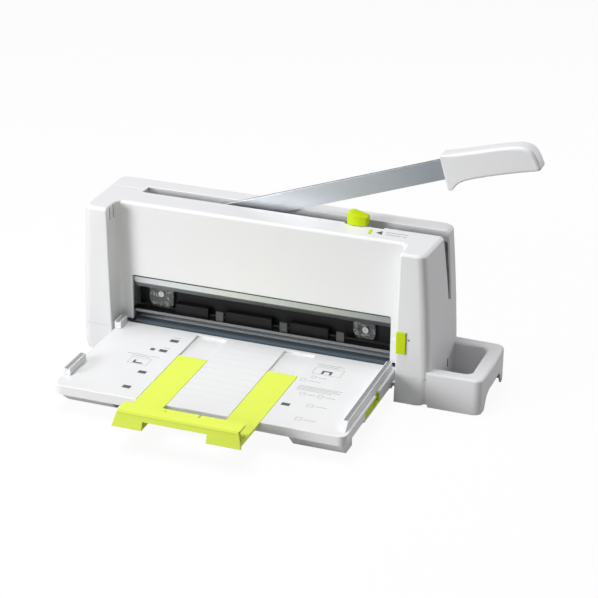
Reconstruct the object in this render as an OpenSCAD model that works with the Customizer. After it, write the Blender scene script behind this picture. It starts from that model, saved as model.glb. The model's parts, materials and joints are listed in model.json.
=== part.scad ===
// Desk paper cutter for stacks of sheets: a tall body with a long lever, a folding tray and a paper gauge.
// X runs along the throat, Y from front to back, Z up from the desk. Millimetres.
// The pieces are placed from the throat's centre and the front of the posts, then moved to the origin.

/* [Body] */
// Width of the throat that the sheets pass through
throat_w = 312; // [290:1:340]
// Height of the body above the desk
body_h = 179; // [177:1:190]
// Depth of the body, from the front of its posts to its back
body_d = 103; // [95:1:115]
// Space between the throat and each post at the desk
post_gap = 14.5; // [13.5:0.5:18]
// Width of the left post at its top
left_post = 30; // [28:0.5:36]
// Width of the right post at its top
right_post = 34; // [32:0.5:38]
// How far the left end spreads from the top down to the desk
left_flare = 7; // [0:0.5:9]
// How far the right end spreads from the top down to the desk
right_flare = 10; // [0:0.5:11]
// Bulge of the spread: 1 is straight, more is fuller
flare_bulge = 1.7; // [1:0.1:2.5]
// Radius of the body's upright corners
corner_r = 10; // [6:1:12]
// Draw-in of the right end towards its front corner
front_draw = 4; // [0:0.5:5]
// Easing of the top edges
top_ease = 2.5; // [1:0.5:4]
// Wall of the mouldings
wall = 2.5; // [2:0.1:3]
// Height where the covers part from the base
base_h = 34; // [33:0.5:37]
// Draw-in of the base's ends at the desk
base_ease = 6; // [2:0.5:7]
// Gap under the base's rim
rim_gap = 0.6; // [0.4:0.1:1]
// Floor of the base
floor_t = 3; // [2.5:0.1:3.5]
// Height of the rubber feet
foot_h = 3; // [2.6:0.1:4]
// Radius of a rubber foot
foot_r = 7; // [5:0.5:8]
// Inset of the feet and screw bosses from the tops of the body's ends
boss_inset = 14.5; // [13:0.5:16]
// Depth of the recess that the tray folds into, as a share of the body's depth
recess_share = 0.272; // [0.26:0.001:0.28]
// How far the recess widens up to the top, each side
recess_flare = 2.5; // [0:0.5:4]
// Fillet in the recess's upright corners
recess_r = 6; // [3:0.5:10]
// Top of the front window
window_top = 89; // [88.5:0.5:95]
// Radius of the window's upper corners
window_r = 3; // [1:0.5:5]
// Top of the rear window
rear_window_top = 62; // [50:1:80]

/* [Lever slot] */
// Left end of the slot, from the throat's left edge
slot_past = 0; // [-1:0.5:8]
// Space from the slot's front edge to the lever's plane
slot_front = 11; // [9:0.5:12]
// Width of the slot
slot_w = 17; // [14:0.5:20]
// Lowest point of the slot in the right end
slot_bottom = 99; // [90:0.5:100]
// Depth of the wall that hangs from the slot's rear edge
slot_wall = 13; // [8:0.5:14]
// Width of the slot at that lowest point
slot_tip_w = 8; // [6.5:0.5:12]

/* [Lever] */
// Distance of the pivot inside the throat's left edge
pivot_inset = 16; // [12:0.5:20]
// Height of the pivot
pivot_z = 133; // [131:0.5:136]
// Length of the collar between the bracket and the arm
collar_len = 4; // [3:0.1:4.5]
// Angle of the raised lever above level
lever_up = 19.6; // [16:0.1:22]
// Angle of the lowered lever below level
lever_down = 3.4; // [2:0.1:3.6]
// Width of the steel arm
arm_w = 23; // [18:0.5:24]
// Thickness of the steel arm
arm_t = 4; // [3:0.5:5]
// Radius of the arm's round end at the pivot
arm_end_r = 14; // [12:0.5:16]
// Space between the body's right end and the grip of the level lever
grip_clear = 13.5; // [11:0.5:30]
// Length of the grip
grip_len = 108; // [95:0.5:130]
// Thickness of the grip
grip_t = 22; // [18:1:28]
// Height of the grip's heel above the arm's centre line
grip_top = 18; // [16:0.5:20]
// Fall of the grip's top from its heel to its end
grip_fall = 8.5; // [6:0.5:10]
// Depth of the grip's beak below the arm's centre line
grip_toe = 23.5; // [21:0.5:28]
// Depth of the grip's end below the arm's centre line
grip_low = 21.5; // [19:0.5:24]
// Depth of the grip's waist below the arm's centre line
grip_waist = 16; // [15.5:0.5:18]
// Easing of the grip's edges
grip_ease = 5; // [2:0.5:7]
// Length of the tang inside the grip
tang_len = 70; // [50:1:85]

/* [Pivot and spring] */
// Radius of the pivot pin
pivot_r = 5; // [4:0.5:6]
// Radius of the bush in the arm
bush_r = 7; // [6.5:0.5:8]
// Radius of the bush's collar
collar_r = 10; // [8.5:0.5:11]
// Thickness of the bracket's cheeks
cheek_t = 4; // [3:0.5:5]
// Width of the bracket
bracket_w = 50; // [44:1:54]
// Height of the bracket above the pivot
bracket_rise = 17; // [14:1:20]
// Wire of the return spring
spring_wire = 2; // [1.4:0.1:2.4]
// Whole turns of the return spring, before its last three quarters
spring_turns = 2; // [1:1:2]
// Space between the return spring's turns
spring_gap = 0.6; // [0.5:0.1:0.8]
// Length of the spring's leg under the arm
spring_leg = 42; // [25:1:60]

/* [Blade and guides] */
// Thickness of the blade
blade_t = 3; // [2:0.1:3]
// Height of the blade
blade_h = 31; // [28:0.5:33]
// Height of the ground bevel
bevel_h = 7; // [3:0.5:10]
// Depth of the blade's edge below the bed when the lever is down
bite = 0.5; // [0.2:0.1:0.8]
// Distance from the pivot to the drive pin
drive_r = 56; // [52:0.5:60]
// Radius of the drive pin
drive_pin_r = 4; // [3:0.5:5]
// Sideways draw of the blade during the cut
blade_draw = 12; // [6:0.5:13]
// Thickness of the carriage
carriage_t = 5; // [4:0.5:6]
// Lap of the carriage over the blade
blade_lap = 14; // [12:0.5:16]
// Height of the carriage's plate
carriage_h = 66; // [62:1:68]
// Thickness of the guide beam
guide_t = 6; // [5.5:0.5:7]
// Lower edge of the guide beam
guide_z = 90; // [88:0.5:91]
// Height of the guide beam
guide_h = 22; // [20:0.5:23]
// Radius of a guide pin
guide_pin_r = 5; // [4:0.5:6]
// Distance of each guide pin inside the throat's edge
guide_pin_inset = 51; // [45:1:70]

/* [Clamp] */
// Gap under the raised clamp, which is the stack's height
clamp_open = 10; // [8:0.5:12.5]
// Thickness of the clamp's foot
clamp_t = 2.5; // [2:0.1:3]
// Thickness of the clamp's rubber pad
pad_t = 1; // [0.8:0.1:1.5]
// Height of the clamp's tabs and blocks
tab_h = 12.5; // [7:0.5:13]
// Radius of a clamp rod
rod_r = 4; // [3:0.5:4.5]
// Wire of the clamp springs
clamp_wire = 1.4; // [1:0.1:1.8]
// Turns of a clamp spring
clamp_turns = 6; // [4:1:7]

/* [Frame] */
// Top of the bed, which the sheets lie on
bed_z = 31; // [30.6:0.1:31.4]
// Thickness of the bed
bed_t = 6; // [5.5:0.5:7]
// Width of the cutting stick
stick_w = 10; // [8:0.5:12]
// Height of the cutting stick
stick_h = 4; // [3:0.5:4.5]
// Space between the throat and each side frame
frame_gap = 16; // [15.6:0.1:17]
// Thickness of the side frames
frame_t = 4; // [3:0.5:5]
// Height of the side frames above the base's floor
frame_h = 124; // [115:1:135]
// Lower edge of the upper beam
beam_z = 77; // [75:0.5:78]
// Height of the upper beam
beam_h = 11; // [10:0.5:12]
// Depth of the upper beam, as a share of the body's depth
beam_share = 0.13; // [0.12:0.001:0.135]
// Thickness of the black blade guard
guard_t = 1.2; // [1:0.1:1.2]

/* [Tray] */
// Space between the tray and the left post
tray_gap_left = 2.5; // [2:0.5:5]
// Space between the tray and the right post
tray_gap_right = 4.5; // [2.5:0.5:5]
// Reach of the tray in front of the posts
tray_front = 150; // [140:1:152]
// Space between the tray's rear edge and the back of the recess
tray_gap_back = 3.5; // [3.5:0.5:6]
// Thickness of the tray
tray_t = 14; // [12:0.5:14.5]
// Height of the lower edge of the tray's front and sides above its rear part
tray_trim = 3; // [0:0.5:4]
// How far the tray's left side spreads towards the front
tray_flare = 2; // [0:0.1:2.2]
// Radius of the tray's front corners
tray_r = 9; // [5:0.5:14]
// Space between the tray's hinge and the back of the recess
hinge_back = 21; // [20.5:0.1:21.5]
// Height of the tray's hinge
hinge_z = 20; // [19.6:0.1:20.5]
// Radius of the hinge pins
hinge_r = 3; // [2.5:0.1:3.5]
// Height of the fences above the tray
fence_h = 9; // [6:0.5:9]
// Width of the right fence
fence_w = 6.6; // [6:0.1:8]
// Space outside the right fence
fence_edge = 3.6; // [3.4:0.1:4]
// Width of the left fence's blocks
block_w = 8; // [6.5:0.5:9]
// Depth of the scale strips let into the fences
strip_t = 1; // [0.6:0.1:1.5]
// Width of the scale strips
strip_w = 4.4; // [3:0.1:5]
// Width of a tray foot
tray_foot_w = 60; // [40:1:64]
// Front of the tray's feet
tray_foot_y = 126; // [118:1:128]
// How much further the right foot reaches to the front
tray_foot_lead = 5; // [0:0.5:8]
// Thickness of the rubber pads under the tray's feet
tray_pad_t = 2; // [1.5:0.1:3]

/* [Paper gauge] */
// Width of a gauge arm
gauge_arm_w = 35; // [28:0.5:38]
// Distance of each arm from the throat's centre
gauge_arm_x = 36; // [30:0.5:40]
// Thickness of the arms
gauge_t = 3; // [2.5:0.1:3.5]
// Length of the arms over the tray
gauge_arm_len = 114; // [90:1:130]
// Reach of the bar in front of the tray
gauge_bar = 58; // [40:1:66]
// Height of the bar's front wall
gauge_wall_h = 17; // [14:0.5:20]
// Lean of the bar's front wall
gauge_lean = 5.5; // [2:0.5:8]
// Depth of the lip on top of the wall
gauge_lip = 21; // [14:0.5:26]
// Rise of the finger cut-out in that wall
finger_rise = 9; // [5:0.5:10]

/* [Catch and lock] */
// Distance of the lock slider's left edge inside the throat's right edge
slider_inset = 63; // [60:1:80]
// Length of the lock slider
slider_len = 23; // [22:1:30]
// Travel of the lock slider
slider_travel = 16; // [8:1:18]
// Height of the lock slider above the top
slider_h = 15; // [10:0.5:16]
// Lower edge of the tray catch
catch_z = 61; // [58:1:63]
// Height of the tray catch
catch_h = 26; // [24:1:28]
// Width of the tray catch
catch_w = 11; // [10:0.5:13]
// Travel of the tray catch
catch_travel = 6; // [4:0.5:6]

/* [Foot loop] */
// Height of the loop
loop_h = 42; // [30:1:48]
// Reach of the loop beyond the right end's foot
loop_reach = 55.5; // [46:0.5:66]
// Width of the loop's front and rear bars
loop_bar = 15; // [12:0.5:18]
// Width of the loop's outer bar
loop_side = 17; // [13:0.5:20]
// Height of the arch under the outer bar
loop_arch = 18; // [8:1:20]

/* [Fits] */
// Clearance between parts that slide past each other
slide_gap = 0.3; // [0.3:0.05:0.4]
// Radial clearance of a turning fit
turn_gap = 0.08; // [0.03:0.01:0.1]
// Radial clearance round a seated pin or screw
seat_gap = 0.05; // [0.02:0.01:0.1]
// Radius of a screw's thread
screw_r = 2; // [1.6:0.1:2.2]
// Radius of a screw's head
head_r = 3.6; // [3.2:0.1:4]
// Height of a screw's head
head_h = 2.2; // [1.8:0.1:2.4]

/* [Hidden] */
$fn = 48;
skin = 0.01;
far = 600;
white = [0.93, 0.93, 0.94];
lime = [0.80, 0.89, 0.16];
steel = [0.78, 0.80, 0.82];
black = [0.10, 0.10, 0.11];
slate = [0.24, 0.31, 0.35];
grey = [0.55, 0.56, 0.58];

half_throat = throat_w / 2;
recess_half = half_throat + post_gap;
left_end = recess_half + left_post;
right_end = recess_half + right_post;
recess_d = body_d * recess_share;
slot_left = half_throat + slot_past;
floor_z = foot_h + floor_t;
well_y = recess_d + 5;

// Layers of the works, from the beam back to the lever
beam_y = recess_d + 5;
beam_back = beam_y + body_d * beam_share;
blade_y = beam_back + guard_t + 0.4;
carriage_y = blade_y + blade_t;
guide_y = carriage_y + carriage_t + 1;
guide_back = guide_y + guide_t;
cheek_front = guide_back;
lever_y = cheek_front + cheek_t + collar_len + arm_t / 2;
cheek_back = lever_y + arm_t / 2 + 10;
slot_y = lever_y - slot_front;
seam_y = slot_y + slot_w / 2;

frame_x = half_throat + frame_gap;
frame_y = well_y + wall + 1;
frame_top = floor_z + frame_h;
frame_boss_y = (frame_y + guide_back) / 2;
frame_flange = 18;
bed_half = half_throat - 1;
bed_front = recess_d + 1;
bed_back = body_d - 0.5;
boss_r = screw_r + 3;
boss_front_y = recess_d + 2;
boss_back_y = seam_y + boss_r + 3.5;
foot_front_y = recess_d / 2;
foot_back_y = body_d - 12;
boss_left = left_end - boss_inset;
boss_right = right_end - boss_inset;

guide_pin_x = half_throat - guide_pin_inset;
guide_pin_z = guide_z + 10;

pivot_x = -half_throat + pivot_inset;
web_z = guide_z + 2;
coil_r = arm_w / 2 + spring_wire / 2 + slide_gap;
coil_pitch = spring_wire + spring_gap;

blade_drop = drive_r * (sin(lever_up) + sin(lever_down));
edge_z = bed_z - bite + blade_drop;
blade_left = -half_throat + 2 + blade_draw;
blade_right = half_throat + 1 + blade_draw;
carriage_low = edge_z + blade_h - blade_lap;
carriage_left = blade_left + 2;
carriage_right = blade_right - 19;
drive_x = pivot_x + drive_r * cos(lever_up);
drive_z = pivot_z + drive_r * sin(lever_up);
drive_run = drive_r * (cos(lever_down) - cos(lever_up)) + blade_draw;

clamp_low = bed_z + clamp_open;
clamp_z = clamp_low + pad_t;
clamp_top = clamp_z + clamp_t;
clamp_front = beam_y - 1;
clamp_back = beam_back - slide_gap;
rod_x = half_throat + 7;
rod_y = well_y + 7;
clamp_coil_r = rod_r + clamp_wire / 2 + 0.9;

tray_left = recess_half - tray_gap_left;
tray_right = recess_half - tray_gap_right;
tray_back = recess_d - tray_gap_back;
tray_low = bed_z - tray_t;
hollow_top = bed_z - gauge_t - wall;
hinge_y = recess_d - hinge_back;
fence_right = tray_right - fence_edge;
fence_top = bed_z + fence_h;
gauge_front = tray_front + gauge_bar;
bar_low = bed_z - gauge_t;
slider_x = half_throat - slider_inset;
slider_notch = slot_y - 3.5;

catch_x = recess_half + recess_flare * catch_z / body_h + 0.3;
nub_z = catch_z + 5;
nub_h = 6;
nub_y = hinge_y + 1;
nub_t = 4;
nub_tip = tray_right - 1.8;
keeper_depth = 5.6;

base_full = rim_gap + 1.7 * base_ease;
loop_x = right_end + right_flare;
loop_right = loop_x + loop_reach;
loop_front = 2;
loop_back = body_d - 1;

grip_start = right_end - pivot_x + grip_clear;
heel_r = 3;
bend_r = 6;
toe_r = 4;
toe_u = grip_start + grip_len - toe_r;
toe_v = toe_r - grip_low;
crown_r = 11;

// The part's box in plan, whose middle is the origin
box_left = -end_x(left_end, left_flare, base_full);
box_right = pivot_x + toe_u * cos(lever_up) - toe_v * sin(lever_up) + toe_r;
origin_x = (box_left + box_right) / 2;
origin_y = (body_d - gauge_front) / 2;

// Moves the pieces from the throat's centre to the origin
module machine() translate([-origin_x, -origin_y, 0]) children();

// Carries the lever's own frame: X along the arm, Z across it
module lever_frame() translate([pivot_x, lever_y, pivot_z]) rotate([0, -lever_up, 0]) children();

// A box from its lowest to its highest corner
module span(low, high) translate(low) cube(high - low);

// Round bars along each axis
module x_rod(y, z, x0, x1, r) translate([x0, y, z]) rotate([0, 90, 0]) cylinder(h = x1 - x0, r = r);
module y_rod(x, z, y0, y1, r) translate([x, y0, z]) rotate([-90, 0, 0]) cylinder(h = y1 - y0, r = r);
module z_rod(x, y, z0, z1, r) translate([x, y, z0]) cylinder(h = z1 - z0, r = r);

// A profile drawn in Y and Z, drawn out along X
module along_x(x0, x1) translate([x0, 0, 0]) rotate([90, 0, 90]) linear_extrude(x1 - x0) children();

// A profile drawn in X and Z, drawn out along Y
module along_y(y0, y1) translate([0, y1, 0]) rotate([90, 0, 0]) linear_extrude(y1 - y0) children();

// Rectangle with four round corners
module round_rect(low, high, r) {
    translate([low[0] + r, low[1]]) square([high[0] - low[0] - 2 * r, high[1] - low[1]]);
    translate([low[0], low[1] + r]) square([high[0] - low[0], high[1] - low[1] - 2 * r]);
    for (x = [low[0] + r, high[0] - r], y = [low[1] + r, high[1] - r])
        translate([x, y]) circle(r);
}

// A slot through Y whose ends are round
module round_slot(x, z, dx, dz, y0, y1, r) {
    y_rod(x, z, y0, y1, r);
    y_rod(x + dx, z + dz, y0, y1, r);
    translate([x, y0, z]) rotate([0, -atan2(dz, dx), 0])
        translate([0, 0, -r]) cube([norm([dx, dz]), y1 - y0, 2 * r]);
}

// Screw with its head's seat at the origin and its thread along +Z
module screw(length) {
    cylinder(h = length, r = screw_r);
    difference() {
        translate([0, 0, -head_h]) cylinder(h = head_h, r = head_r);
        for (turn = [0, 90])
            rotate(turn) translate([-head_r * 0.6, -0.4, -head_h - 1]) cube([head_r * 1.2, 0.8, 1.8]);
    }
}

// Tube of six sides along a list of points
function unit(v) = v / norm(v);
function heading(p, i) = unit(p[min(i + 1, len(p) - 1)] - p[max(i - 1, 0)]);
function carried(n, t) = unit(n - (n * t) * t);
function sides(p, first) = [
    for (i = 0, n = carried(first, heading(p, 0)); i < len(p);
         i = i + 1, n = carried(n, heading(p, min(i, len(p) - 1)))) n];
module tube(p, r, first) {
    n = sides(p, first);
    last = len(p) - 1;
    points = [for (i = [0 : last], k = [0 : 5])
        p[i] + r * (cos(60 * k) * n[i] + sin(60 * k) * cross(heading(p, i), n[i]))];
    walls = [for (i = [0 : last - 1], k = [0 : 5], half = [0, 1])
        let (a = 6 * i + k, b = 6 * i + (k + 1) % 6) half == 0 ? [a, a + 6, b] : [b, a + 6, b + 6]];
    caps = [for (k = [1 : 4], end = [0, 1])
        end == 0 ? [0, k, k + 1] : [6 * last, 6 * last + k + 1, 6 * last + k]];
    polyhedron(points, concat(walls, caps));
}

// Distance of an end, which spreads downwards, and of a recess side from the throat's centre
function end_x(top, flare, z) = top + flare * (1 - pow(z / body_h, flare_bulge));
function recess_x(z) = recess_half + recess_flare * z / body_h;

// Solid of the body inside an inset, through levels of [height, draw-in of ends, draw-in of front and back]
module body_block(inset, levels) hull()
    for (level = levels) {
        r = corner_r - inset;
        in = inset + r;
        left = in + level[1] - end_x(left_end, left_flare, level[0]);
        right = end_x(right_end, right_flare, level[0]) - in - level[1];
        front = in + level[2];
        for (place = [[left, front], [right - front_draw, front],
                [left, body_d - front], [right, body_d - front]])
            translate([place[0], place[1], level[0] - skin]) cylinder(h = skin, r = r, $fn = 32);
    }

// Room of the folded tray, wider towards the top
module recess_block(depth, grow) hull()
    for (z = [-1, body_h + 1], side = [-1, 1]) {
        x = recess_x(z) + grow;
        r = recess_r + grow;
        translate([side * (x - r), depth + grow - r, z]) cylinder(h = skin, r = r, $fn = 32);
        translate([side * x - (side > 0 ? skin : 0), -far / 20, z]) cube(skin);
    }

// Slot for the lever through the top and down the right end
module lever_slot() {
    span([-slot_left, slot_y, body_h - 3 * wall], [far, slot_y + slot_w, body_h + 1]);
    along_x(right_end - 3 * wall, far) polygon([
        [slot_y, body_h + 1], [slot_y, body_h - 3 * wall],
        [lever_y - slot_tip_w / 2, slot_bottom], [lever_y + slot_tip_w / 2, slot_bottom],
        [slot_y + slot_w, body_h - 3 * wall], [slot_y + slot_w, body_h + 1]]);
}

// Places of the screw bosses along the ends, as [x, y]
boss_front = [[-boss_left, boss_front_y], [boss_right, boss_front_y]];
boss_back = [[-boss_left, boss_back_y], [boss_right, boss_back_y]];
// Places of the screws that draw the covers together, as [x, z]
cover_ties = [[-boss_left, 62], [-boss_left, 152], [boss_right, 62]];

// Boss along Z and the web that joins it to the end wall
module post_boss(place, z0, z1) {
    z_rod(place[0], place[1], z0, z1, boss_r);
    side = sign(place[0]);
    span([min(place[0], place[0] + side * far / 20), place[1] - 1.2, z0],
        [max(place[0], place[0] + side * far / 20), place[1] + 1.2, z1]);
}

// Boss along Y and the web that joins it to the end wall
module tie_boss(place, y0, y1) {
    y_rod(place[0], place[1], y0, y1, boss_r);
    side = sign(place[0]);
    span([min(place[0], place[0] + side * far / 20), y0, place[1] - 1.2],
        [max(place[0], place[0] + side * far / 20), y1, place[1] + 1.2]);
}

// Levels between two heights, for the spread of the ends
function rise(low, high) = [for (share = [0, 0.2, 0.4, 0.6, 0.8, 1]) [low + share * (high - low), 0, 0]];
cover_levels = concat(rise(base_h + skin, body_h - top_ease), [[body_h, top_ease, top_ease]]);
cavity_levels = concat(rise(base_h - 1, body_h - wall - top_ease), [[body_h - wall, top_ease, top_ease]]);
post_boss_top = base_h + 18;

module front_cover() color(white) machine() difference() {
    body_block(0, cover_levels);
    span([-far, seam_y, 0], [far, far, far]);
    difference() {
        body_block(wall, cavity_levels);
        recess_block(recess_d, wall);
        for (place = boss_front) post_boss(place, 0, post_boss_top);
        for (place = cover_ties) tie_boss(place, seam_y - 12, far);
    }
    recess_block(recess_d, 0);
    along_y(recess_d - 1, recess_d + wall + 1) {
        translate([-half_throat, 0]) square([throat_w, window_top - window_r]);
        translate([-half_throat + window_r, 0]) square([throat_w - 2 * window_r, window_top]);
        for (side = [-1, 1])
            translate([side * (half_throat - window_r), window_top - window_r]) circle(window_r);
    }
    lever_slot();
    span([slider_x - 3, slider_notch, body_h - 3 * wall],
        [slider_x + slider_len + slider_travel + 3, slot_y + 1, body_h + 1]);
    for (place = boss_front) z_rod(place[0], place[1], 0, post_boss_top - 2, screw_r + seat_gap);
    for (place = cover_ties) y_rod(place[0], place[1], seam_y - 10, far, screw_r + seat_gap);
    catch_slots();
    // Two slits that free a snap tongue at the top of the left post
    for (y = [recess_d / 2 - 5, recess_d / 2 + 4])
        span([-recess_x(body_h) - wall - 1, y, body_h - 18], [-recess_half + 1, y + 1.2, body_h + 1]);
}

// Openings in the right post for the tray catch and its nub
module catch_slots() {
    stem = catch_stem();
    span([stem[0] - slide_gap, -1, nub_z + 2 - slide_gap],
        [stem[1] + slide_gap, wall + 1, nub_z + nub_h + catch_travel + slide_gap]);
    span([recess_half - 1, nub_y - slide_gap, nub_z - slide_gap],
        [catch_x + 3, nub_y + nub_t + slide_gap, nub_z + nub_h + catch_travel + slide_gap]);
}
function catch_stem() = [catch_x + 2.7, catch_x + catch_w - 2];

module rear_cover() color(white) machine() difference() {
    body_block(0, cover_levels);
    span([-far, -far, 0], [far, seam_y + skin, far]);
    difference() {
        body_block(wall, cavity_levels);
        for (place = boss_back) post_boss(place, 0, post_boss_top);
        for (place = cover_ties) tie_boss(place, 0, far);
        span([-slot_left - wall, slot_y + slot_w, body_h - slot_wall], [far, slot_y + slot_w + 1.6, far]);
        span([-slot_left - wall, 0, body_h - slot_wall], [-slot_left, slot_y + slot_w + 1, far]);
    }
    lever_slot();
    span([-half_throat, body_d - wall - 1, 0], [half_throat, far, rear_window_top]);
    for (place = boss_back) z_rod(place[0], place[1], 0, post_boss_top - 2, screw_r + seat_gap);
    for (place = cover_ties) {
        y_rod(place[0], place[1], 0, far, screw_r + 2 * seat_gap);
        y_rod(place[0], place[1], body_d - head_h - 0.4, far, head_r + 4 * seat_gap);
    }
}

base_levels = [[rim_gap + skin, base_ease, 0.6], [rim_gap + 0.35 * base_ease, 0.45 * base_ease, 0],
    [rim_gap + base_ease, 0.12 * base_ease, 0], [base_full, 0, 0], [base_h, 0, 0]];
base_cavity_levels = [[floor_z + skin, base_ease, 0], [floor_z + base_ease, 0, 0], [base_h + 1, 0, 0]];
rim_levels = [[0, base_ease, 0], [foot_h, base_ease, 0]];
rib_x = [for (share = [-0.7, 0, 0.7]) share * half_throat];
bed_screw_y = [carriage_y + 9, body_d - 10];

module base() color(white) machine() difference() {
    union() {
        body_block(0, base_levels);
        foot_loop();
    }
    difference() {
        body_block(wall, base_cavity_levels);
        recess_block(well_y, wall);
        for (place = concat(boss_front, boss_back)) post_boss(place, 0, base_h);
        for (x = rib_x) {
            span([x - 1.5, 0, 0], [x + 1.5, far, bed_z - bed_t]);
            for (y = bed_screw_y) z_rod(x, y, 0, bed_z - bed_t, boss_r);
        }
        for (side = [-1, 1]) {
            z_rod(side * rod_x, rod_y, 0, bed_z - bed_t - 1, rod_r + 3);
            x_rod(hinge_y, hinge_z, side > 0 ? 0 : -recess_half - 11, side > 0 ? recess_half + 11 : 0,
                hinge_r + 3);
        }
    }
    recess_block(well_y, 0);
    body_block(wall, rim_levels);
    // Room for the bed and the clamp above the front and rear walls
    span([-recess_half, well_y - 1, bed_z - bed_t], [recess_half, frame_y - 0.5, far]);
    span([-half_throat, body_d - wall - 3, bed_z - bed_t], [half_throat, far, far]);
    for (x = rib_x, y = bed_screw_y) z_rod(x, y, floor_z, far, screw_r + seat_gap);
    for (side = [-1, 1]) {
        z_rod(side * rod_x, rod_y, floor_z + 2, far, rod_r + seat_gap);
        x_rod(hinge_y, hinge_z, side > 0 ? 0 : -recess_half - 9, side > 0 ? recess_half + 9 : 0,
            hinge_r + seat_gap);
        z_rod(side * (frame_x + frame_flange - 7), frame_boss_y, 0, far, screw_r + 2 * seat_gap);
    }
    for (place = concat(boss_front, boss_back)) {
        z_rod(place[0], place[1], 0, far, screw_r + 2 * seat_gap);
        z_rod(place[0], place[1], 0, floor_z + 3, head_r + 4 * seat_gap);
    }
    // Strap slit in the right end
    span([right_end - wall, body_d * 0.62 - 1, 21], [loop_x + 1, body_d * 0.62 + 1, 32]);
}

// Plan of the loop, drawn in by an inset
module loop_plan(inset) difference() {
    intersection() {
        round_rect([loop_x - 24, loop_front + inset], [loop_right - inset, loop_back - inset], 11 - inset);
        translate([loop_right - far - inset, (loop_front + loop_back) / 2]) circle(far, $fn = 400);
    }
    round_rect([loop_x - 36, loop_front + loop_bar - inset],
        [loop_right - loop_side + inset, loop_back - loop_bar + 1 + inset], 8 + inset);
}

// Loop beside the right end: it steadies the cutter under the lever's push, and is a carrying handle
module foot_loop() difference() {
    linear_extrude(loop_h) loop_plan(0);
    intersection() {
        translate([0, 0, -1]) linear_extrude(loop_h - wall + 1) loop_plan(wall);
        span([loop_x + 3, 0, -2], [far, far, far]);
    }
    along_x(loop_right - loop_side - wall, far) polygon([
        [loop_front + loop_bar, -1], [loop_front + loop_bar + 8, loop_arch - 4],
        [loop_front + loop_bar + 16, loop_arch], [loop_back - loop_bar - 12, loop_arch],
        [loop_back - loop_bar - 5, loop_arch - 4], [loop_back - loop_bar + 3, -1]]);
    span([0, 0, -1], [loop_x - 6, far, foot_h]);
    body_block(0, cover_levels);
}

foot_places = [for (x = [-boss_left, boss_right], y = [foot_front_y, foot_back_y]) [x, y]];
module rubber_feet() color(black) machine()
    for (place = foot_places)
        translate(place) cylinder(h = foot_h, r1 = foot_r - 1, r2 = foot_r);

module base_screws() color(steel) machine()
    for (place = concat(boss_front, boss_back))
        translate([place[0], place[1], floor_z + 3]) screw(post_boss_top - floor_z - 7);

module cover_screws() color(steel) machine()
    for (place = cover_ties)
        translate([place[0], body_d - head_h - 0.4, place[1]]) rotate([90, 0, 0])
            screw(body_d - head_h - seam_y + 8);

// Steel side frame with a foot flange and holes for the beams' screws
module side_frame(side) difference() {
    union() {
        span([side > 0 ? frame_x : -frame_x - frame_t, frame_y, floor_z],
            [side > 0 ? frame_x + frame_t : -frame_x, guide_back, frame_top]);
        span([side > 0 ? frame_x : -frame_x - frame_flange, frame_y, floor_z],
            [side > 0 ? frame_x + frame_flange : -frame_x, guide_back, floor_z + 3]);
    }
    z_rod(side * (frame_x + frame_flange - 7), frame_boss_y, 0, far, screw_r + seat_gap);
    for (place = beam_ties)
        x_rod(place[0], place[1], side > 0 ? 0 : -far, side > 0 ? far : 0, screw_r + 2 * seat_gap);
    // Pass for the clamp's rear edge and the paper's waste
    span([-far, frame_y - 1, bed_z], [far, clamp_back + 1, clamp_top + 1]);
}
module left_frame() color(steel) machine() side_frame(-1);
module right_frame() color(steel) machine() side_frame(1);

module frame_screws() color(steel) machine()
    for (side = [-1, 1])
        translate([side * (frame_x + frame_flange - 7), frame_boss_y, foot_h]) screw(floor_t + 2.5);

module bed_plate() color(slate) machine() difference() {
    span([-bed_half, bed_front, bed_z - bed_t], [bed_half, bed_back, bed_z]);
    span([-bed_half - 1, blade_y - stick_w / 2 - seat_gap, bed_z - stick_h],
        [bed_half + 1, blade_y + stick_w / 2 + seat_gap, bed_z + 1]);
    for (x = rib_x, y = bed_screw_y) {
        z_rod(x, y, 0, far, screw_r + 2 * seat_gap);
        z_rod(x, y, bed_z - head_h - 0.2, far, head_r + 4 * seat_gap);
    }
}

module bed_screws() color(steel) machine()
    for (x = rib_x, y = bed_screw_y)
        translate([x, y, bed_z - head_h - 0.2]) rotate([180, 0, 0]) screw(bed_z - head_h - floor_z - 3);

// Plastic stick under the edge, with the line that the edge has cut
module cutting_stick() color([0.42, 0.46, 0.49]) machine() difference() {
    span([-bed_half, blade_y - stick_w / 2, bed_z - stick_h], [bed_half, blade_y + stick_w / 2, bed_z]);
    span([-bed_half - 1, blade_y - 1, bed_z - bite - slide_gap], [bed_half + 1, blade_y + 1, bed_z + 1]);
}

beam_ties = [[(beam_y + beam_back) / 2, beam_z + beam_h / 2], [guide_y + guide_t / 2, guide_z + guide_h / 2]];
beam_lip = 5;
module upper_beam() color(steel) machine() difference() {
    union() {
        along_x(-frame_x, frame_x) polygon([
            [beam_y + 4, beam_z], [beam_back, beam_z], [beam_back, beam_z + beam_h],
            [beam_y + 1, beam_z + beam_h], [beam_y, beam_z + beam_h - 1], [beam_y, beam_z + 3.5]]);
        // Lip that leans back under the front face
        along_x(1 - half_throat, half_throat - 1) polygon([
            [beam_y, beam_z + 1.5], [beam_y, beam_z + 5], [beam_y + 5.6, beam_z + 5],
            [beam_y + 5.6, beam_z - beam_lip], [beam_y + 4, beam_z - beam_lip]]);
    }
    for (side = [-1, 1]) {
        z_rod(side * rod_x, rod_y, 0, beam_z + beam_h - 2, rod_r + seat_gap);
        beam_end_hole(side, beam_ties[0]);
    }
}

// Tapped hole in a beam's end
module beam_end_hole(side, place)
    x_rod(place[0], place[1], side > 0 ? frame_x - 4.5 : -far, side > 0 ? far : 4.5 - frame_x,
        screw_r + seat_gap);

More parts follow.
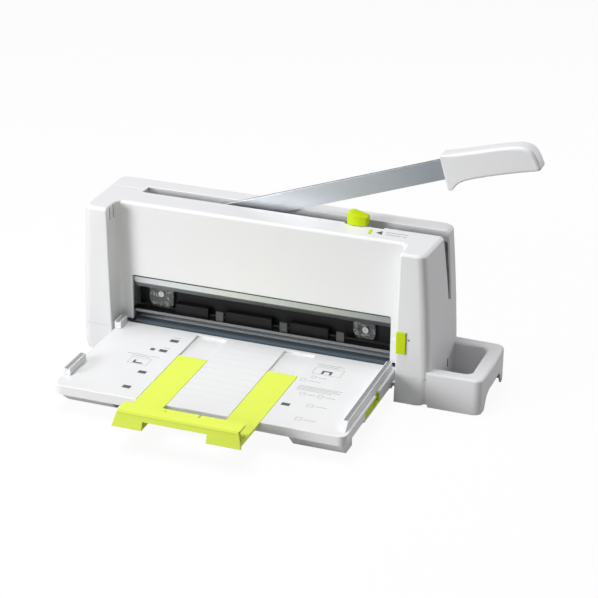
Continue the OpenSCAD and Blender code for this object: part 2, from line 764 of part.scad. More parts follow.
module beam_screws() color(steel) machine()
    for (side = [-1, 1], place = beam_ties)
        translate([side * (frame_x + frame_t), place[0], place[1]]) rotate([0, -90 * side, 0])
            screw(frame_t + 4);

module guide_beam() color(steel) machine() difference() {
    span([-frame_x, guide_y, guide_z], [frame_x, guide_back, guide_z + guide_h]);
    for (side = [-1, 1]) {
        y_rod(side * guide_pin_x, guide_pin_z, 0, far, guide_pin_r + seat_gap);
        beam_end_hole(side, beam_ties[1]);
    }
    for (place = bracket_ties) y_rod(place[0], place[1], 0, far, screw_r + seat_gap);
}

module guide_pins() color(steel) machine()
    for (side = [-1, 1]) {
        y_rod(side * guide_pin_x, guide_pin_z, carriage_y - 0.4, guide_back, guide_pin_r);
        y_rod(side * guide_pin_x, guide_pin_z, beam_back + guard_t + 0.3, carriage_y - 0.4,
            guide_pin_r + 2.5);
    }

guard_low = clamp_top + 2;
// Clear guides as [left, right, lower edge, screw x, screw z]
clear_left = [14.5 - half_throat, 45 - half_throat, guard_low + 0.5, 30.5 - half_throat, beam_z - 12.5];
clear_right = [half_throat - 48, half_throat - 22, guard_low + 3, half_throat - 33, beam_z - 15];
clear_t = 4.4;

module blade_guard() color(black) machine() difference() {
    span([-bed_half, beam_back, guard_low], [bed_half, beam_back + guard_t, beam_z + beam_h]);
    for (g = [clear_left, clear_right]) y_rod(g[3], g[4], 0, far, screw_r + seat_gap);
}

module clear_guide(g) difference() {
    along_y(beam_back - clear_t, beam_back) polygon([
        [g[0], beam_z], [g[0], g[2] + 8], [g[0] + 5, g[2]], [g[1] - 3, g[2]], [g[1], g[2] + 5],
        [g[1], beam_z]]);
    y_rod(g[3], g[4], 0, far, screw_r + seat_gap);
}
module clear_guide_left() color([0.8, 0.86, 0.86, 0.5]) machine() clear_guide(clear_left);
module clear_guide_right() color([0.8, 0.86, 0.86, 0.5]) machine() clear_guide(clear_right);

module clear_guide_screws() color(steel) machine()
    for (g = [clear_left, clear_right])
        translate([g[3], beam_back - clear_t, g[4]]) rotate([-90, 0, 0]) screw(clear_t + guard_t - 0.1);

module clamp_rods() color(steel) machine()
    for (side = [-1, 1]) z_rod(side * rod_x, rod_y, floor_z + 2, beam_z + beam_h - 2, rod_r);

clamp_coil_low = clamp_top + slide_gap + clamp_wire / 2;
clamp_coil_high = beam_z - slide_gap - clamp_wire / 2;
clamp_coil = [for (i = [0 : 8 * clamp_turns])
    [clamp_coil_r * cos(45 * i), clamp_coil_r * sin(45 * i),
     clamp_coil_low + (clamp_coil_high - clamp_coil_low) * i / (8 * clamp_turns)]];
module clamp_springs() color(steel) machine()
    for (side = [-1, 1])
        translate([side * rod_x, rod_y, 0]) tube(clamp_coil, clamp_wire / 2, [0, 0, 1]);

// Tabs of the clamp, and the black blocks between them, as places along X
tab_x = [for (share = [-0.353, 0.147, 0.583]) share * half_throat];
tab_w = 9;
clamp_block_x = [for (share = [[-0.68, -0.423], [-0.282, 0.077], [0.218, 0.513]]) share * half_throat];

module clamp_bar() color(steel) machine() difference() {
    union() {
        span([-rod_x - 6, clamp_front, clamp_z], [rod_x + 6, clamp_back, clamp_top]);
        for (x = tab_x)
            span([x, clamp_front + 2, clamp_top], [x + tab_w, clamp_front + 4, clamp_top + tab_h]);
        span([-half_throat + 1, clamp_front, clamp_top],
            [half_throat - 1, clamp_front + 1.2, clamp_top + 1.2]);
    }
    for (side = [-1, 1]) z_rod(side * rod_x, rod_y, 0, far, rod_r + turn_gap);
}

module clamp_blocks() color(black) machine()
    for (x = clamp_block_x)
        span([x[0], clamp_front + 5, clamp_top], [x[1], clamp_back - 1, clamp_top + tab_h]);

module clamp_pad() color(black) machine()
    span([-half_throat + 2, clamp_front + 1, clamp_low], [half_throat - 2, clamp_back - 1, clamp_z]);

blade_screw_x = [for (share = [-0.8, -0.4, 0, 0.4, 0.8]) share * half_throat];
blade_screw_z = edge_z + blade_h - blade_lap / 2;

module blade_carriage() color(steel) machine() difference() {
    union() {
        span([carriage_left, carriage_y, carriage_low],
            [carriage_right, carriage_y + carriage_t, carriage_low + carriage_h]);
        span([drive_x - 17, carriage_y, carriage_low],
            [drive_x + drive_run + 17, carriage_y + carriage_t, drive_z + 13]);
    }
    for (side = [-1, 1])
        round_slot(side * guide_pin_x, guide_pin_z, blade_draw, blade_drop, 0, far, guide_pin_r + slide_gap);
    round_slot(drive_x - 1, drive_z, drive_run + 2, 0, 0, far, drive_pin_r + slide_gap + 0.1);
    for (x = blade_screw_x) y_rod(x + blade_draw, blade_screw_z, 0, far, screw_r + seat_gap);
}

module blade() color([0.86, 0.87, 0.88]) machine() difference() {
    along_x(blade_left, blade_right) polygon([
        [blade_y, edge_z], [blade_y, edge_z + blade_h],
        [carriage_y, edge_z + blade_h], [carriage_y, edge_z + bevel_h]]);
    for (x = blade_screw_x) {
        y_rod(x + blade_draw, blade_screw_z, 0, far, screw_r + 2 * seat_gap);
        y_rod(x + blade_draw, blade_screw_z, 0, blade_y + head_h * 0.9, head_r + 4 * seat_gap);
    }
}

module blade_screws() color(grey) machine()
    for (x = blade_screw_x)
        translate([x + blade_draw, blade_y + head_h * 0.9, blade_screw_z]) rotate([-90, 0, 0])
            intersection() {
                screw(carriage_t);
                translate([0, 0, -head_h * 0.9]) cylinder(h = far, r = 2 * head_r);
            }

bracket_ties = [for (side = [-1, 1]) [pivot_x + side * (bracket_w / 2 - 7), guide_z + guide_h - 7]];
module pivot_bracket() color(steel) machine() difference() {
    span([pivot_x - bracket_w / 2, cheek_front, web_z],
        [pivot_x + bracket_w / 2, cheek_back + cheek_t, pivot_z + bracket_rise]);
    span([pivot_x - bracket_w, cheek_front + cheek_t, web_z + cheek_t],
        [pivot_x + bracket_w, cheek_back, far]);
    y_rod(pivot_x, pivot_z, 0, far, pivot_r + seat_gap);
    for (place = bracket_ties) y_rod(place[0], place[1], 0, far, screw_r + 2 * seat_gap);
}

module bracket_screws() color(grey) machine()
    for (place = bracket_ties)
        translate([place[0], cheek_front + cheek_t, place[1]]) rotate([90, 0, 0]) screw(cheek_t + guide_t);

module pivot_pin() color(steel) machine() difference() {
    union() {
        y_rod(pivot_x, pivot_z, cheek_front - 2, cheek_back + cheek_t + 3.4, pivot_r);
        y_rod(pivot_x, pivot_z, cheek_front - 2, cheek_front, pivot_r + 3);
    }
    difference() {
        y_rod(pivot_x, pivot_z, clip_y, clip_y + 1.3, far / 20);
        y_rod(pivot_x, pivot_z, 0, far, pivot_r - 1);
    }
}
clip_y = cheek_back + cheek_t + 0.2;

module pivot_clip() color(grey) machine() difference() {
    y_rod(pivot_x, pivot_z, clip_y + 0.1, clip_y + 1.1, pivot_r + 3);
    y_rod(pivot_x, pivot_z, 0, far, pivot_r - 1 + seat_gap);
    span([pivot_x - 1.5, 0, pivot_z], [pivot_x + 1.5, far, far]);
}

spacer_front = lever_y + arm_t / 2 + slide_gap;
module pivot_spacer() color([0.85, 0.84, 0.80]) machine() difference() {
    y_rod(pivot_x, pivot_z, spacer_front, cheek_back - 0.1, coil_r * cos(22.5) - spring_wire / 2 - 0.5);
    y_rod(pivot_x, pivot_z, 0, far, pivot_r + turn_gap);
}

// Return spring: a leg on the bracket's web, turns round the spacer, and a leg hooked under the arm
coil_back = cheek_back - slide_gap - spring_wire / 2;
coil_end = 360 * spring_turns + 270 + lever_up;
coil_points = [for (i = [0 : ceil(coil_end / 45)])
    let (angle = min(45 * i, coil_end))
    [coil_r * cos(angle), coil_back - coil_pitch * angle / 360, coil_r * sin(angle)]];
coil_exit = coil_points[len(coil_points) - 1];
leg_way = [cos(lever_up), 0, sin(lever_up)];
leg_low = web_z + cheek_t + slide_gap - pivot_z;
leg_tip = coil_exit + leg_way * spring_leg;
spring_path = concat(
    [[coil_r, coil_back, leg_low], [coil_r, coil_back, leg_low / 2]],
    coil_points,
    [coil_exit + leg_way * spring_leg / 2, coil_exit + leg_way * (spring_leg - 4),
     leg_tip - [0, 3, 0], [leg_tip[0], lever_y - arm_t / 2, leg_tip[2]]]);
module return_spring() color(steel) machine()
    translate([pivot_x, 0, pivot_z]) tube(spring_path, spring_wire / 2, [1, 0.3, 0]);

// Least space between turns a whole turn apart or more, on the points of the path
function least_gap(p, wire, apart) = min([for (i = [0 : len(p) - 1], j = [i + apart : 1 : len(p) - 1])
    norm(p[i] - p[j])]) - wire;
echo(return_spring_gap = least_gap(coil_points, spring_wire, 7));
echo(clamp_spring_gap = least_gap(clamp_coil, clamp_wire, 7));

tang_w = arm_w - 6;
grip_screw_u = [grip_start + 18, grip_start + 52];
module lever_arm() color(steel) machine() lever_frame() difference() {
    union() {
        span([0, -arm_t / 2, -arm_w / 2], [grip_start + 8, arm_t / 2, arm_w / 2]);
        span([0, -arm_t / 2, -tang_w / 2], [grip_start + tang_len, arm_t / 2, tang_w / 2]);
        y_rod(0, 0, -arm_t / 2, arm_t / 2, arm_end_r);
    }
    y_rod(0, 0, -far, far, bush_r + seat_gap);
    y_rod(drive_r, 0, -far, far, drive_pin_r + seat_gap);
    for (u = grip_screw_u) y_rod(u, 0, -far, far, screw_r + seat_gap);
}

module pivot_bush() color([0.76, 0.60, 0.32]) machine() lever_frame() difference() {
    union() {
        y_rod(0, 0, -arm_t / 2, arm_t / 2, bush_r);
        y_rod(0, 0, cheek_front + cheek_t + slide_gap - lever_y, -arm_t / 2, collar_r);
    }
    y_rod(0, 0, -far, far, pivot_r + turn_gap);
}

module drive_pin() color(steel) machine() lever_frame() {
    y_rod(drive_r, 0, carriage_y - lever_y, arm_t / 2, drive_pin_r);
    y_rod(drive_r, 0, arm_t / 2, arm_t / 2 + 2.5, drive_pin_r + 2.5);
}

// Corners of the grip as [place along the arm, height, radius], in pairs from the heel to the end
function grip_crest(u) = grip_top - grip_fall * (u - grip_start - 5) / (grip_len - 17);
function grip_pair(u, low) = [[u, grip_crest(u) - bend_r, bend_r], [u, bend_r - low, bend_r]];
grip_heel = [[grip_start + 5, grip_top - 2.5, 2.5], [grip_start + heel_r, heel_r - grip_toe, heel_r]];
grip_knee = grip_pair(grip_start + 15, grip_waist + 1);
grip_mid = grip_pair(grip_start + 32, grip_waist);
grip_end = [[toe_u - 8, grip_top - grip_fall - crown_r, crown_r], [toe_u, toe_v, toe_r]];

module grip_outline(corners) hull()
    for (c = corners) translate([c[0], c[1]]) circle(c[2], $fn = 32);

// One length of the grip, with eased edges
module grip_length(corners) hull() {
    along_y(grip_ease - grip_t / 2, grip_t / 2 - grip_ease) grip_outline(corners);
    along_y(-grip_t / 2, grip_t / 2) offset(delta = -grip_ease * 0.7) grip_outline(corners);
}

module handle_grip() color(white) machine() lever_frame() difference() {
    union() {
        grip_length(concat(grip_heel, grip_knee));
        grip_length(concat(grip_knee, grip_mid));
        grip_length(concat(grip_mid, grip_end));
    }
    span([0, -arm_t / 2 - seat_gap, -tang_w / 2 - seat_gap],
        [grip_start + tang_len + seat_gap, arm_t / 2 + seat_gap, tang_w / 2 + seat_gap]);
    span([0, -arm_t / 2 - seat_gap, -arm_w / 2 - seat_gap],
        [grip_start + 8 + seat_gap, arm_t / 2 + seat_gap, arm_w / 2 + seat_gap]);
    for (u = grip_screw_u) {
        y_rod(u, 0, 3 - grip_t / 2, far, screw_r + 2 * seat_gap);
        y_rod(u, 0, grip_t / 2 - head_h - 0.6, far, head_r + 4 * seat_gap);
    }
}

module grip_screws() color(steel) machine() lever_frame()
    for (u = grip_screw_u)
        translate([u, grip_t / 2 - head_h - 0.6, 0]) rotate([90, 0, 0]) screw(grip_t - head_h - 5);

// Knob with a bowed front and a top that falls to the right, on a stem through the slot
slider_front = slider_notch - 4.5;
slider_back = slot_y + 7.2;
module lock_slider() color(lime) machine() {
    right = slider_x + slider_len;
    top = body_h + slider_h;
    intersection() {
        along_y(slider_front, slider_back) polygon([
            [slider_x, body_h + slide_gap], [right, body_h + slide_gap],
            [right, top - 4.5], [slider_x + 5, top], [slider_x, top - 1.5]]);
        z_rod(slider_x + slider_len / 2, slider_front + slider_len, 0, far, slider_len);
    }
    span([slider_x + 3, slider_notch + slide_gap, body_h - wall - slide_gap],
        [slider_x + slider_len - 3, slot_y + 0.5, body_h + slide_gap]);
}

// Keeper under the top wall that holds the slider down
module lock_slider_plate() color(black) machine()
    span([slider_x, slider_notch - 4, body_h - wall - slide_gap - 2],
        [slider_x + slider_len, slot_y + 0.5, body_h - wall - slide_gap]);

bolt_spigot = 4;
bolt_r = 1.2;
module tray_catch() color(lime) machine() difference() {
    stem = catch_stem();
    union() {
        span([catch_x, -1.9, catch_z], [catch_x + catch_w, -slide_gap, catch_z + catch_h]);
        span([stem[0], -slide_gap, nub_z + 2], [stem[1], nub_y + nub_t, nub_z + nub_h]);
        span([stem[0], wall + slide_gap, nub_z - 2], [stem[1] + 2, wall + slide_gap + 2, nub_z + nub_h + 2]);
        span([stem[0], nub_y, nub_z], [stem[1], nub_y + nub_t, nub_z + nub_h]);
    }
    x_rod(nub_y + nub_t / 2, nub_z + nub_h / 2, stem[0] - 1, stem[0] + bolt_spigot + 0.4, bolt_r + seat_gap);
}

// White bolt on the catch that holds the folded tray
module catch_bolt() color(white) machine() {
    edge = catch_stem()[0];
    span([nub_tip, nub_y, nub_z], [edge, nub_y + nub_t, nub_z + nub_h]);
    x_rod(nub_y + nub_t / 2, nub_z + nub_h / 2, edge - 1, edge + bolt_spigot, bolt_r);
}

module tray_hinge_pins() color(steel) machine()
    for (side = [-1, 1])
        x_rod(hinge_y, hinge_z, side > 0 ? tray_right - 10 : -recess_half - 9,
            side > 0 ? recess_half + 9 : 10 - tray_left, hinge_r);

// Plan of the tray, with round front corners
module tray_plan(inset) {
    low = -tray_front + inset;
    left = -tray_left - tray_flare + inset;
    polygon([
        [-tray_left + inset, tray_back - inset], [left, low + tray_r],
        [tray_right - inset, low + tray_r], [tray_right - inset, tray_back - inset]]);
    translate([left + tray_r, low]) square([tray_right - inset - 2 * tray_r - left, tray_r + 1]);
    for (x = [left + tray_r, tray_right - inset - tray_r]) translate([x, low + tray_r]) circle(tray_r);
}

// Places of the tray's feet along X
tray_foot_x = [-tray_left + 3, tray_right - 5 - tray_foot_w];
keeper_y = [hinge_y - (nub_z - hinge_z) - 46, hinge_y - (nub_z - hinge_z) + 3];
keeper_z = [tray_low + 1.8, bed_z - wall];
mouth_y = [keeper_y[1] - 12.4, keeper_y[1] - 0.6];

module tray_deck() color(white) machine() difference() {
    union() {
        difference() {
            translate([0, 0, tray_low]) linear_extrude(tray_t) tray_plan(0);
            translate([0, 0, tray_low - 1]) linear_extrude(hollow_top - tray_low + 1) tray_plan(wall);
            span([-far, -far, 0], [far, keeper_y[0] - 2, tray_low + tray_trim]);
        }
        // Feet with a front that leans back towards the desk
        for (i = [0, 1])
            along_x(tray_foot_x[i], tray_foot_x[i] + tray_foot_w) polygon([
                [-tray_foot_y - i * tray_foot_lead, tray_pad_t], [14 - tray_foot_y, tray_pad_t],
                [14 - tray_foot_y, hollow_top + 1], [-tray_front + wall, hollow_top + 1],
                [-tray_front + wall, tray_low + tray_trim]]);
        x_rod(hinge_y, hinge_z, tray_right - 14, tray_right, hinge_r + 3.4);
        x_rod(hinge_y, hinge_z, -tray_left, 14 - tray_left, hinge_r + 3.4);
        for (y = [-95, -45, 0])
            span([-tray_left + 1, y, tray_low + 3], [tray_right - keeper_depth - 2, y + 2, hollow_top + 1]);
    }
    for (side = [-1, 1])
        span([side > 0 ? gauge_arm_x - 0.4 : -gauge_arm_x - gauge_arm_w - 0.4, -far, bar_low],
            [side > 0 ? gauge_arm_x + gauge_arm_w + 0.4 : 0.4 - gauge_arm_x, tray_back - 5.5, far]);
    x_rod(hinge_y, hinge_z, tray_right - 12, far, hinge_r + turn_gap);
    x_rod(hinge_y, hinge_z, -far, 12 - tray_left, hinge_r + turn_gap);
    span([tray_right - keeper_depth, keeper_y[0], keeper_z[0]], [far, keeper_y[1], keeper_z[1]]);
    span([tray_right - 3, mouth_y[0], bed_z - wall - 1], [far, mouth_y[1], far]);
}

// Lime keeper in the tray's side: the catch's nub drops in at its mouth and slides under its lip
module catch_keeper() color(lime) machine() difference() {
    span([tray_right - keeper_depth, keeper_y[0], keeper_z[0]], [tray_right - 0.3, keeper_y[1], keeper_z[1]]);
    span([tray_right - 3, mouth_y[0] - catch_travel, keeper_z[0] + 1], [far, mouth_y[1], keeper_z[1] - 2]);
    span([tray_right - 3, mouth_y[0], keeper_z[0] + 1], [far, mouth_y[1], far]);
}

// A fence with a groove along its top for a strip
module fence(x0, x1, y0, y1) difference() {
    span([x0, y0, bed_z], [x1, y1, fence_top]);
    span([(x0 + x1 - strip_w) / 2, y0 - 1, fence_top - strip_t],
        [(x0 + x1 + strip_w) / 2, y1 + 1, fence_top + 1]);
}
module fence_strip(x0, x1, y0, y1)
    span([(x0 + x1 - strip_w) / 2, y0, fence_top - strip_t], [(x0 + x1 + strip_w) / 2, y1, fence_top]);

right_fence_at = [fence_right - fence_w, fence_right, -129, tray_back - 6.5];
left_front_at = [-tray_left - 1.2, -tray_left - 1.2 + block_w, -125, -86];
left_rear_at = [-tray_left, -tray_left + block_w, 2, tray_back - 4.5];
module right_fence() color(white) machine() {
    fence(right_fence_at[0], right_fence_at[1], right_fence_at[2], right_fence_at[3]);
    // Its front end slopes down to the tray
    along_x(right_fence_at[0], right_fence_at[1]) polygon([[right_fence_at[2] - 11, bed_z],
        [right_fence_at[2] + 2, bed_z], [right_fence_at[2] + 2, fence_top - strip_t - 1],
        [right_fence_at[2], fence_top - strip_t - 1], [right_fence_at[2], fence_top],
        [right_fence_at[2] - 1, fence_top]]);
}
module scale_strip() color(grey) machine()
    fence_strip(right_fence_at[0], right_fence_at[1], right_fence_at[2], right_fence_at[3]);
module left_fence_front() color(white) machine()
    fence(left_front_at[0], left_front_at[1], left_front_at[2], left_front_at[3]);
module left_fence_rear() color(white) machine()
    fence(left_rear_at[0], left_rear_at[1], left_rear_at[2], left_rear_at[3]);
module fence_caps() color(grey) machine()
    for (at = [left_front_at, left_rear_at]) fence_strip(at[0], at[1], at[2], at[3]);

module tray_pads() color(black) machine()
    for (x = tray_foot_x)
        span([x + 4, 4.5 - tray_foot_y, 0], [x + tray_foot_w - 4, 13 - tray_foot_y, tray_pad_t]);

// Lime gauge: two arms that slide in the tray's channels, joined in front of it by a leaning wall with a lip
gauge_half = gauge_arm_x + gauge_arm_w;
lip_top = bar_low + gauge_wall_h;
lip_back = gauge_lean + gauge_lip - gauge_front;
lip_t = 2.2;
gauge_spread = 2.4;
module paper_gauge() color(lime) machine() difference() {
    union() {
        for (side = [-1, 1])
            span([side > 0 ? gauge_arm_x : -gauge_half, 1.2 - gauge_front, bar_low],
                [side > 0 ? gauge_half : -gauge_arm_x, gauge_arm_len - tray_front, bed_z]);
        intersection() {
            along_x(-gauge_half - gauge_spread, gauge_half + gauge_spread) polygon([
                [-gauge_front, bar_low], [gauge_lean - gauge_front, lip_top - 1],
                [gauge_lean + 1 - gauge_front, lip_top], [lip_back, lip_top], [lip_back, lip_top - lip_t],
                [gauge_lean + lip_t - gauge_front, lip_top - lip_t], [lip_t - gauge_front, bar_low]]);
            along_y(-far, 0) polygon([
                [-gauge_half - gauge_spread, bar_low - 1], [gauge_half + gauge_spread, bar_low - 1],
                [gauge_half - gauge_spread, lip_top], [-gauge_half + gauge_spread, lip_top]]);
        }
    }
    // Finger room in the middle of the wall, and a hole and a sight slit in the lip
    span([-2.5 - gauge_arm_x, -gauge_front - 1, bar_low - 1],
        [gauge_arm_x - 2, lip_back, bar_low + finger_rise]);
    z_rod(4 - gauge_arm_x / 2 - 6, lip_back - 5, lip_top - 2 * lip_t, far, 1);
    span([gauge_arm_x / 2 - 1, lip_back - 6, lip_top - 2 * lip_t], [gauge_arm_x / 2 + 1, lip_back + 1, far]);
}

base();
front_cover();
rear_cover();
rubber_feet();
base_screws();
cover_screws();
left_frame();
right_frame();
frame_screws();
bed_plate();
bed_screws();
cutting_stick();
upper_beam();
beam_screws();
guide_beam();
guide_pins();
blade_guard();
clear_guide_left();
clear_guide_right();
clear_guide_screws();
clamp_rods();
clamp_springs();
clamp_bar();
clamp_blocks();
clamp_pad();
blade_carriage();
blade();
blade_screws();
pivot_bracket();
bracket_screws();
pivot_pin();
pivot_clip();
pivot_spacer();
return_spring();
lever_arm();
pivot_bush();
drive_pin();
handle_grip();
grip_screws();
lock_slider();
lock_slider_plate();
tray_catch();
catch_bolt();
tray_hinge_pins();
tray_deck();
right_fence();
scale_strip();
left_fence_front();
left_fence_rear();
fence_caps();
catch_keeper();
tray_pads();
paper_gauge();
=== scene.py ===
import json
import math
import bmesh
import bpy
from mathutils import Matrix, Vector
from mathutils.kdtree import KDTree


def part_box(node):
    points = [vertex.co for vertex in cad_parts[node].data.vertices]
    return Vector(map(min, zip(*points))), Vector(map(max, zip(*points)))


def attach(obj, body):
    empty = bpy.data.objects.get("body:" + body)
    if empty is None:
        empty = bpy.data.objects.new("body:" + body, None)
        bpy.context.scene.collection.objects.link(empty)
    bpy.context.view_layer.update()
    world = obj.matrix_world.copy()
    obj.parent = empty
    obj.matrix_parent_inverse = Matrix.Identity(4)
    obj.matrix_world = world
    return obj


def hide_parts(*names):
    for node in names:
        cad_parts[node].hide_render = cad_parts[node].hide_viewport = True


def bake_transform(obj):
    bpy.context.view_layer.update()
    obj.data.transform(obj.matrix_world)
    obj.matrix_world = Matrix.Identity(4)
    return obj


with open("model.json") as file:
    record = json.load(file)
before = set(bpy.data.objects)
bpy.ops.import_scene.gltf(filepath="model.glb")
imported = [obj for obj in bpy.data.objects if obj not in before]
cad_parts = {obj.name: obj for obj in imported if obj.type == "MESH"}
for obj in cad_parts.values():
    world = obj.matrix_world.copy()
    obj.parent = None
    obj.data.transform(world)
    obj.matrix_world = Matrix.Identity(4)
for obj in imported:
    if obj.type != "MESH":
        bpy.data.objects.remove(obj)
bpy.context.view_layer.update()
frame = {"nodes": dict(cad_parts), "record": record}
nodes = frame["nodes"]

# Places are in millimetres from the throat's centre and the front of the posts, as a maker would measure
bedLow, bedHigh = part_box("bed_plate")
throatX = (bedLow.x + bedHigh.x) / 2
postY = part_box("front_cover")[0].y


def spot(x, y, z):
    return Vector((throatX + x / 1000, postY + y / 1000, z / 1000))


def local(point):
    return Vector(((point.x - throatX) * 1000, (point.y - postY) * 1000, point.z * 1000))


print("stage: frame loaded,", len(nodes), "nodes")

cameraSet = {
    "target": (58.6, 0, 106.6),   # what the photograph looks at
    "azimuth": 20.2,
    "elevation": 24.8,
    "roll": 0.5,
    "distance": 2159.2,
    "focal": 1966.1,              # in pixels
    "frame": 598,                 # the picture's width in pixels
    "sensor": 36,
    "reach": 50,                  # how far it sees, in metres
}


def makeCamera(spec):
    a, e, r = (math.radians(spec[k]) for k in ("azimuth", "elevation", "roll"))
    back = Vector((math.sin(a) * math.cos(e), -math.cos(a) * math.cos(e), math.sin(e)))
    level = Vector((math.cos(a), math.sin(a), 0))
    up = back.cross(level)
    right = level * math.cos(r) + up * math.sin(r)
    top = up * math.cos(r) - level * math.sin(r)
    data = bpy.data.cameras.new("camera")
    data.sensor_width = spec["sensor"]
    data.lens = spec["focal"] / spec["frame"] * spec["sensor"]
    data.clip_end = spec["reach"]
    camera = bpy.data.objects.new("camera", data)
    place = spot(*spec["target"]) + back * spec["distance"] / 1000
    turn = Matrix((right, top, back)).transposed().to_4x4()
    camera.matrix_world = Matrix.Translation(place) @ turn
    bpy.context.collection.objects.link(camera)
    bpy.context.scene.camera = camera


makeCamera(cameraSet)


# One wire of a shader: wires and numbers combine with the usual signs
class Wire:
    def __init__(self, finish, socket):
        self.finish = finish
        self.socket = socket

    def sum(self, operation, *values):
        return self.finish.add("ShaderNodeMath", {"operation": operation}, *values)

    def __add__(self, other):
        return self.sum("ADD", self, other)

    def __mul__(self, other):
        return self.sum("MULTIPLY", self, other)

    def __sub__(self, other):
        return self.sum("SUBTRACT", self, other)

    def __truediv__(self, other):
        return self.sum("DIVIDE", self, other)

    def __mod__(self, other):
        return self.sum("FLOORED_MODULO", self, other)

    def __lt__(self, other):
        return self.sum("LESS_THAN", self, other)

    def __gt__(self, other):
        return self.sum("GREATER_THAN", self, other)

    def __abs__(self):
        return self.sum("ABSOLUTE", self)


# A finish is one material, made by adding nodes
class Finish:
    def __init__(self, name, **constants):
        self.material = bpy.data.materials.new(name)
        self.material.use_nodes = True
        self.tree = self.material.node_tree
        self.shader = self.tree.nodes["Principled BSDF"]
        for key, value in constants.items():
            self.set(key.replace("_", " "), value)

    def add(self, kind, settings=None, *values, out=0, **named):
        node = self.tree.nodes.new(kind)
        for key, value in (settings or {}).items():
            if key == "stops":
                ramp = node.color_ramp
                while len(ramp.elements) < len(value):
                    ramp.elements.new(0.5)
                for element, (place, colour) in zip(ramp.elements, value):
                    element.position = place
                    element.color = (*colour, 1)
            else:
                setattr(node, key, value)
        for index, value in enumerate(values):
            self.feed(node.inputs[index], value)
        for key, value in named.items():
            self.feed(node.inputs[key], value)
        return Wire(self, node.outputs[out])

    def feed(self, socket, value):
        if isinstance(value, Wire):
            self.tree.links.new(value.socket, socket)
        elif socket.type == "RGBA" and len(value) == 3:
            socket.default_value = (*value, 1)
        else:
            socket.default_value = value

    def set(self, name, value):
        self.feed(self.shader.inputs[name], value)

    def place(self, scale=(1, 1, 1), turn=(0, 0, 0)):
        coords = self.add("ShaderNodeTexCoord", out="Object")
        return self.add("ShaderNodeMapping", Vector=coords, Rotation=turn, Scale=scale)

    def axes(self):
        coords = self.add("ShaderNodeTexCoord", out="Object")
        split = self.add("ShaderNodeSeparateXYZ", None, coords)
        parts = split.socket.node.outputs
        return [Wire(self, parts[i]) for i in range(3)]

    def noise(self, vector, scale, detail=3.0, roughness=0.55):
        grain = {"Vector": vector, "Scale": scale, "Detail": detail, "Roughness": roughness}
        return self.add("ShaderNodeTexNoise", **grain)

    def blend(self, factor, first, second):
        node = self.tree.nodes.new("ShaderNodeMix")
        node.data_type = "RGBA"
        for index, value in ((0, factor), (6, first), (7, second)):   # its sockets for colours
            self.feed(node.inputs[index], value)
        return Wire(self, node.outputs[2])

    def bump(self, height, strength, distance):
        relief = self.add("ShaderNodeBump", Height=height, Strength=strength, Distance=distance)
        self.set("Normal", relief)


# Moulded plastic: a fine spark-eroded grain, slow changes of tone and of shine
def mouldedFinish(name, colour, shade, grain=0.16, rough=0.42, shine=0.5):
    f = Finish(name, IOR=1.47, Specular_IOR_Level=shine)
    slow = f.noise(f.place(), scale=9.0, detail=2.0)
    fine = f.noise(f.place(), scale=1500.0, detail=2.0)
    f.set("Base Color", f.blend(slow * 0.7 + fine * 0.3, colour, shade))
    f.set("Roughness", slow * 0.10 + fine * 0.06 + (rough - 0.08))
    f.bump(fine, strength=grain, distance=0.0002)
    return f.material


# Steel brushed along one way, which the turn gives; where given, a painted shade darkens it from one end to
# the other and a painted shadow darkens it above a height
def brushedFinish(name, colour, shade, turn=(0, 0, 0), rough=0.34, fade=None, shadow=None):
    f = Finish(name, Metallic=1.0, Anisotropic=0.4)
    streak = f.noise(f.place((14, 900, 900), turn), scale=1.0, detail=4.0, roughness=0.6)
    slow = f.noise(f.place(), scale=22.0, detail=2.0)
    tone = streak * 0.75 + slow * 0.25
    steel = f.blend(tone, shade, colour)
    # painted shade: the colour moves to a darker pair along x
    if fade:
        along = (f.axes()[0] - fade["start"]) / (fade["end"] - fade["start"])
        steel = f.blend(along, steel, f.blend(tone, fade["shade"], fade["colour"]))
    # painted shadow: a flat dark colour above the given height
    if shadow:
        steel = f.blend(f.axes()[2] > shadow["above"], steel, shadow["colour"])
    f.set("Base Color", steel)
    f.set("Roughness", streak * 0.16 + slow * 0.08 + (rough - 0.10))
    f.bump(streak, strength=0.06, distance=0.0001)
    return f.material


# Zinc-plated or turned fixings with a mottled surface
def turnedFinish(name, colour, shade, rough=0.36):
    f = Finish(name, Metallic=1.0)
    mottle = f.noise(f.place(), scale=420.0)
    f.set("Base Color", f.blend(mottle, shade, colour))
    f.set("Roughness", mottle * 0.2 + (rough - 0.1))
    f.bump(mottle, strength=0.05, distance=0.0001)
    return f.material


# Paint on sheet metal: a light orange peel, and a painted shadow behind a line where one is given
def paintFinish(name, colour, shade, rough=0.38, field=None):
    f = Finish(name, Coat_Weight=0.15)
    peel = f.noise(f.place(), scale=520.0, detail=2.0)
    slow = f.noise(f.place(), scale=14.0, detail=2.0)
    paint = f.blend(slow, colour, shade)
    # painted shadow: dark behind the given line
    if field:
        dark = f.blend(slow, field["colour"], field["shade"])
        paint = f.blend(f.axes()[1] > field["behind"], paint, dark)
    f.set("Base Color", paint)
    f.set("Roughness", peel * 0.12 + slow * 0.08 + (rough - 0.1))
    f.bump(peel, strength=0.10, distance=0.0002)
    return f.material


# Rubber: dull, with a coarse bloom
def rubberFinish(name, colour, shade):
    f = Finish(name)
    bloom = f.noise(f.place(), scale=260.0, detail=4.0, roughness=0.7)
    f.set("Base Color", f.blend(bloom, colour, shade))
    f.set("Roughness", bloom * 0.2 + 0.68)
    f.bump(bloom, strength=0.25, distance=0.0003)
    return f.material
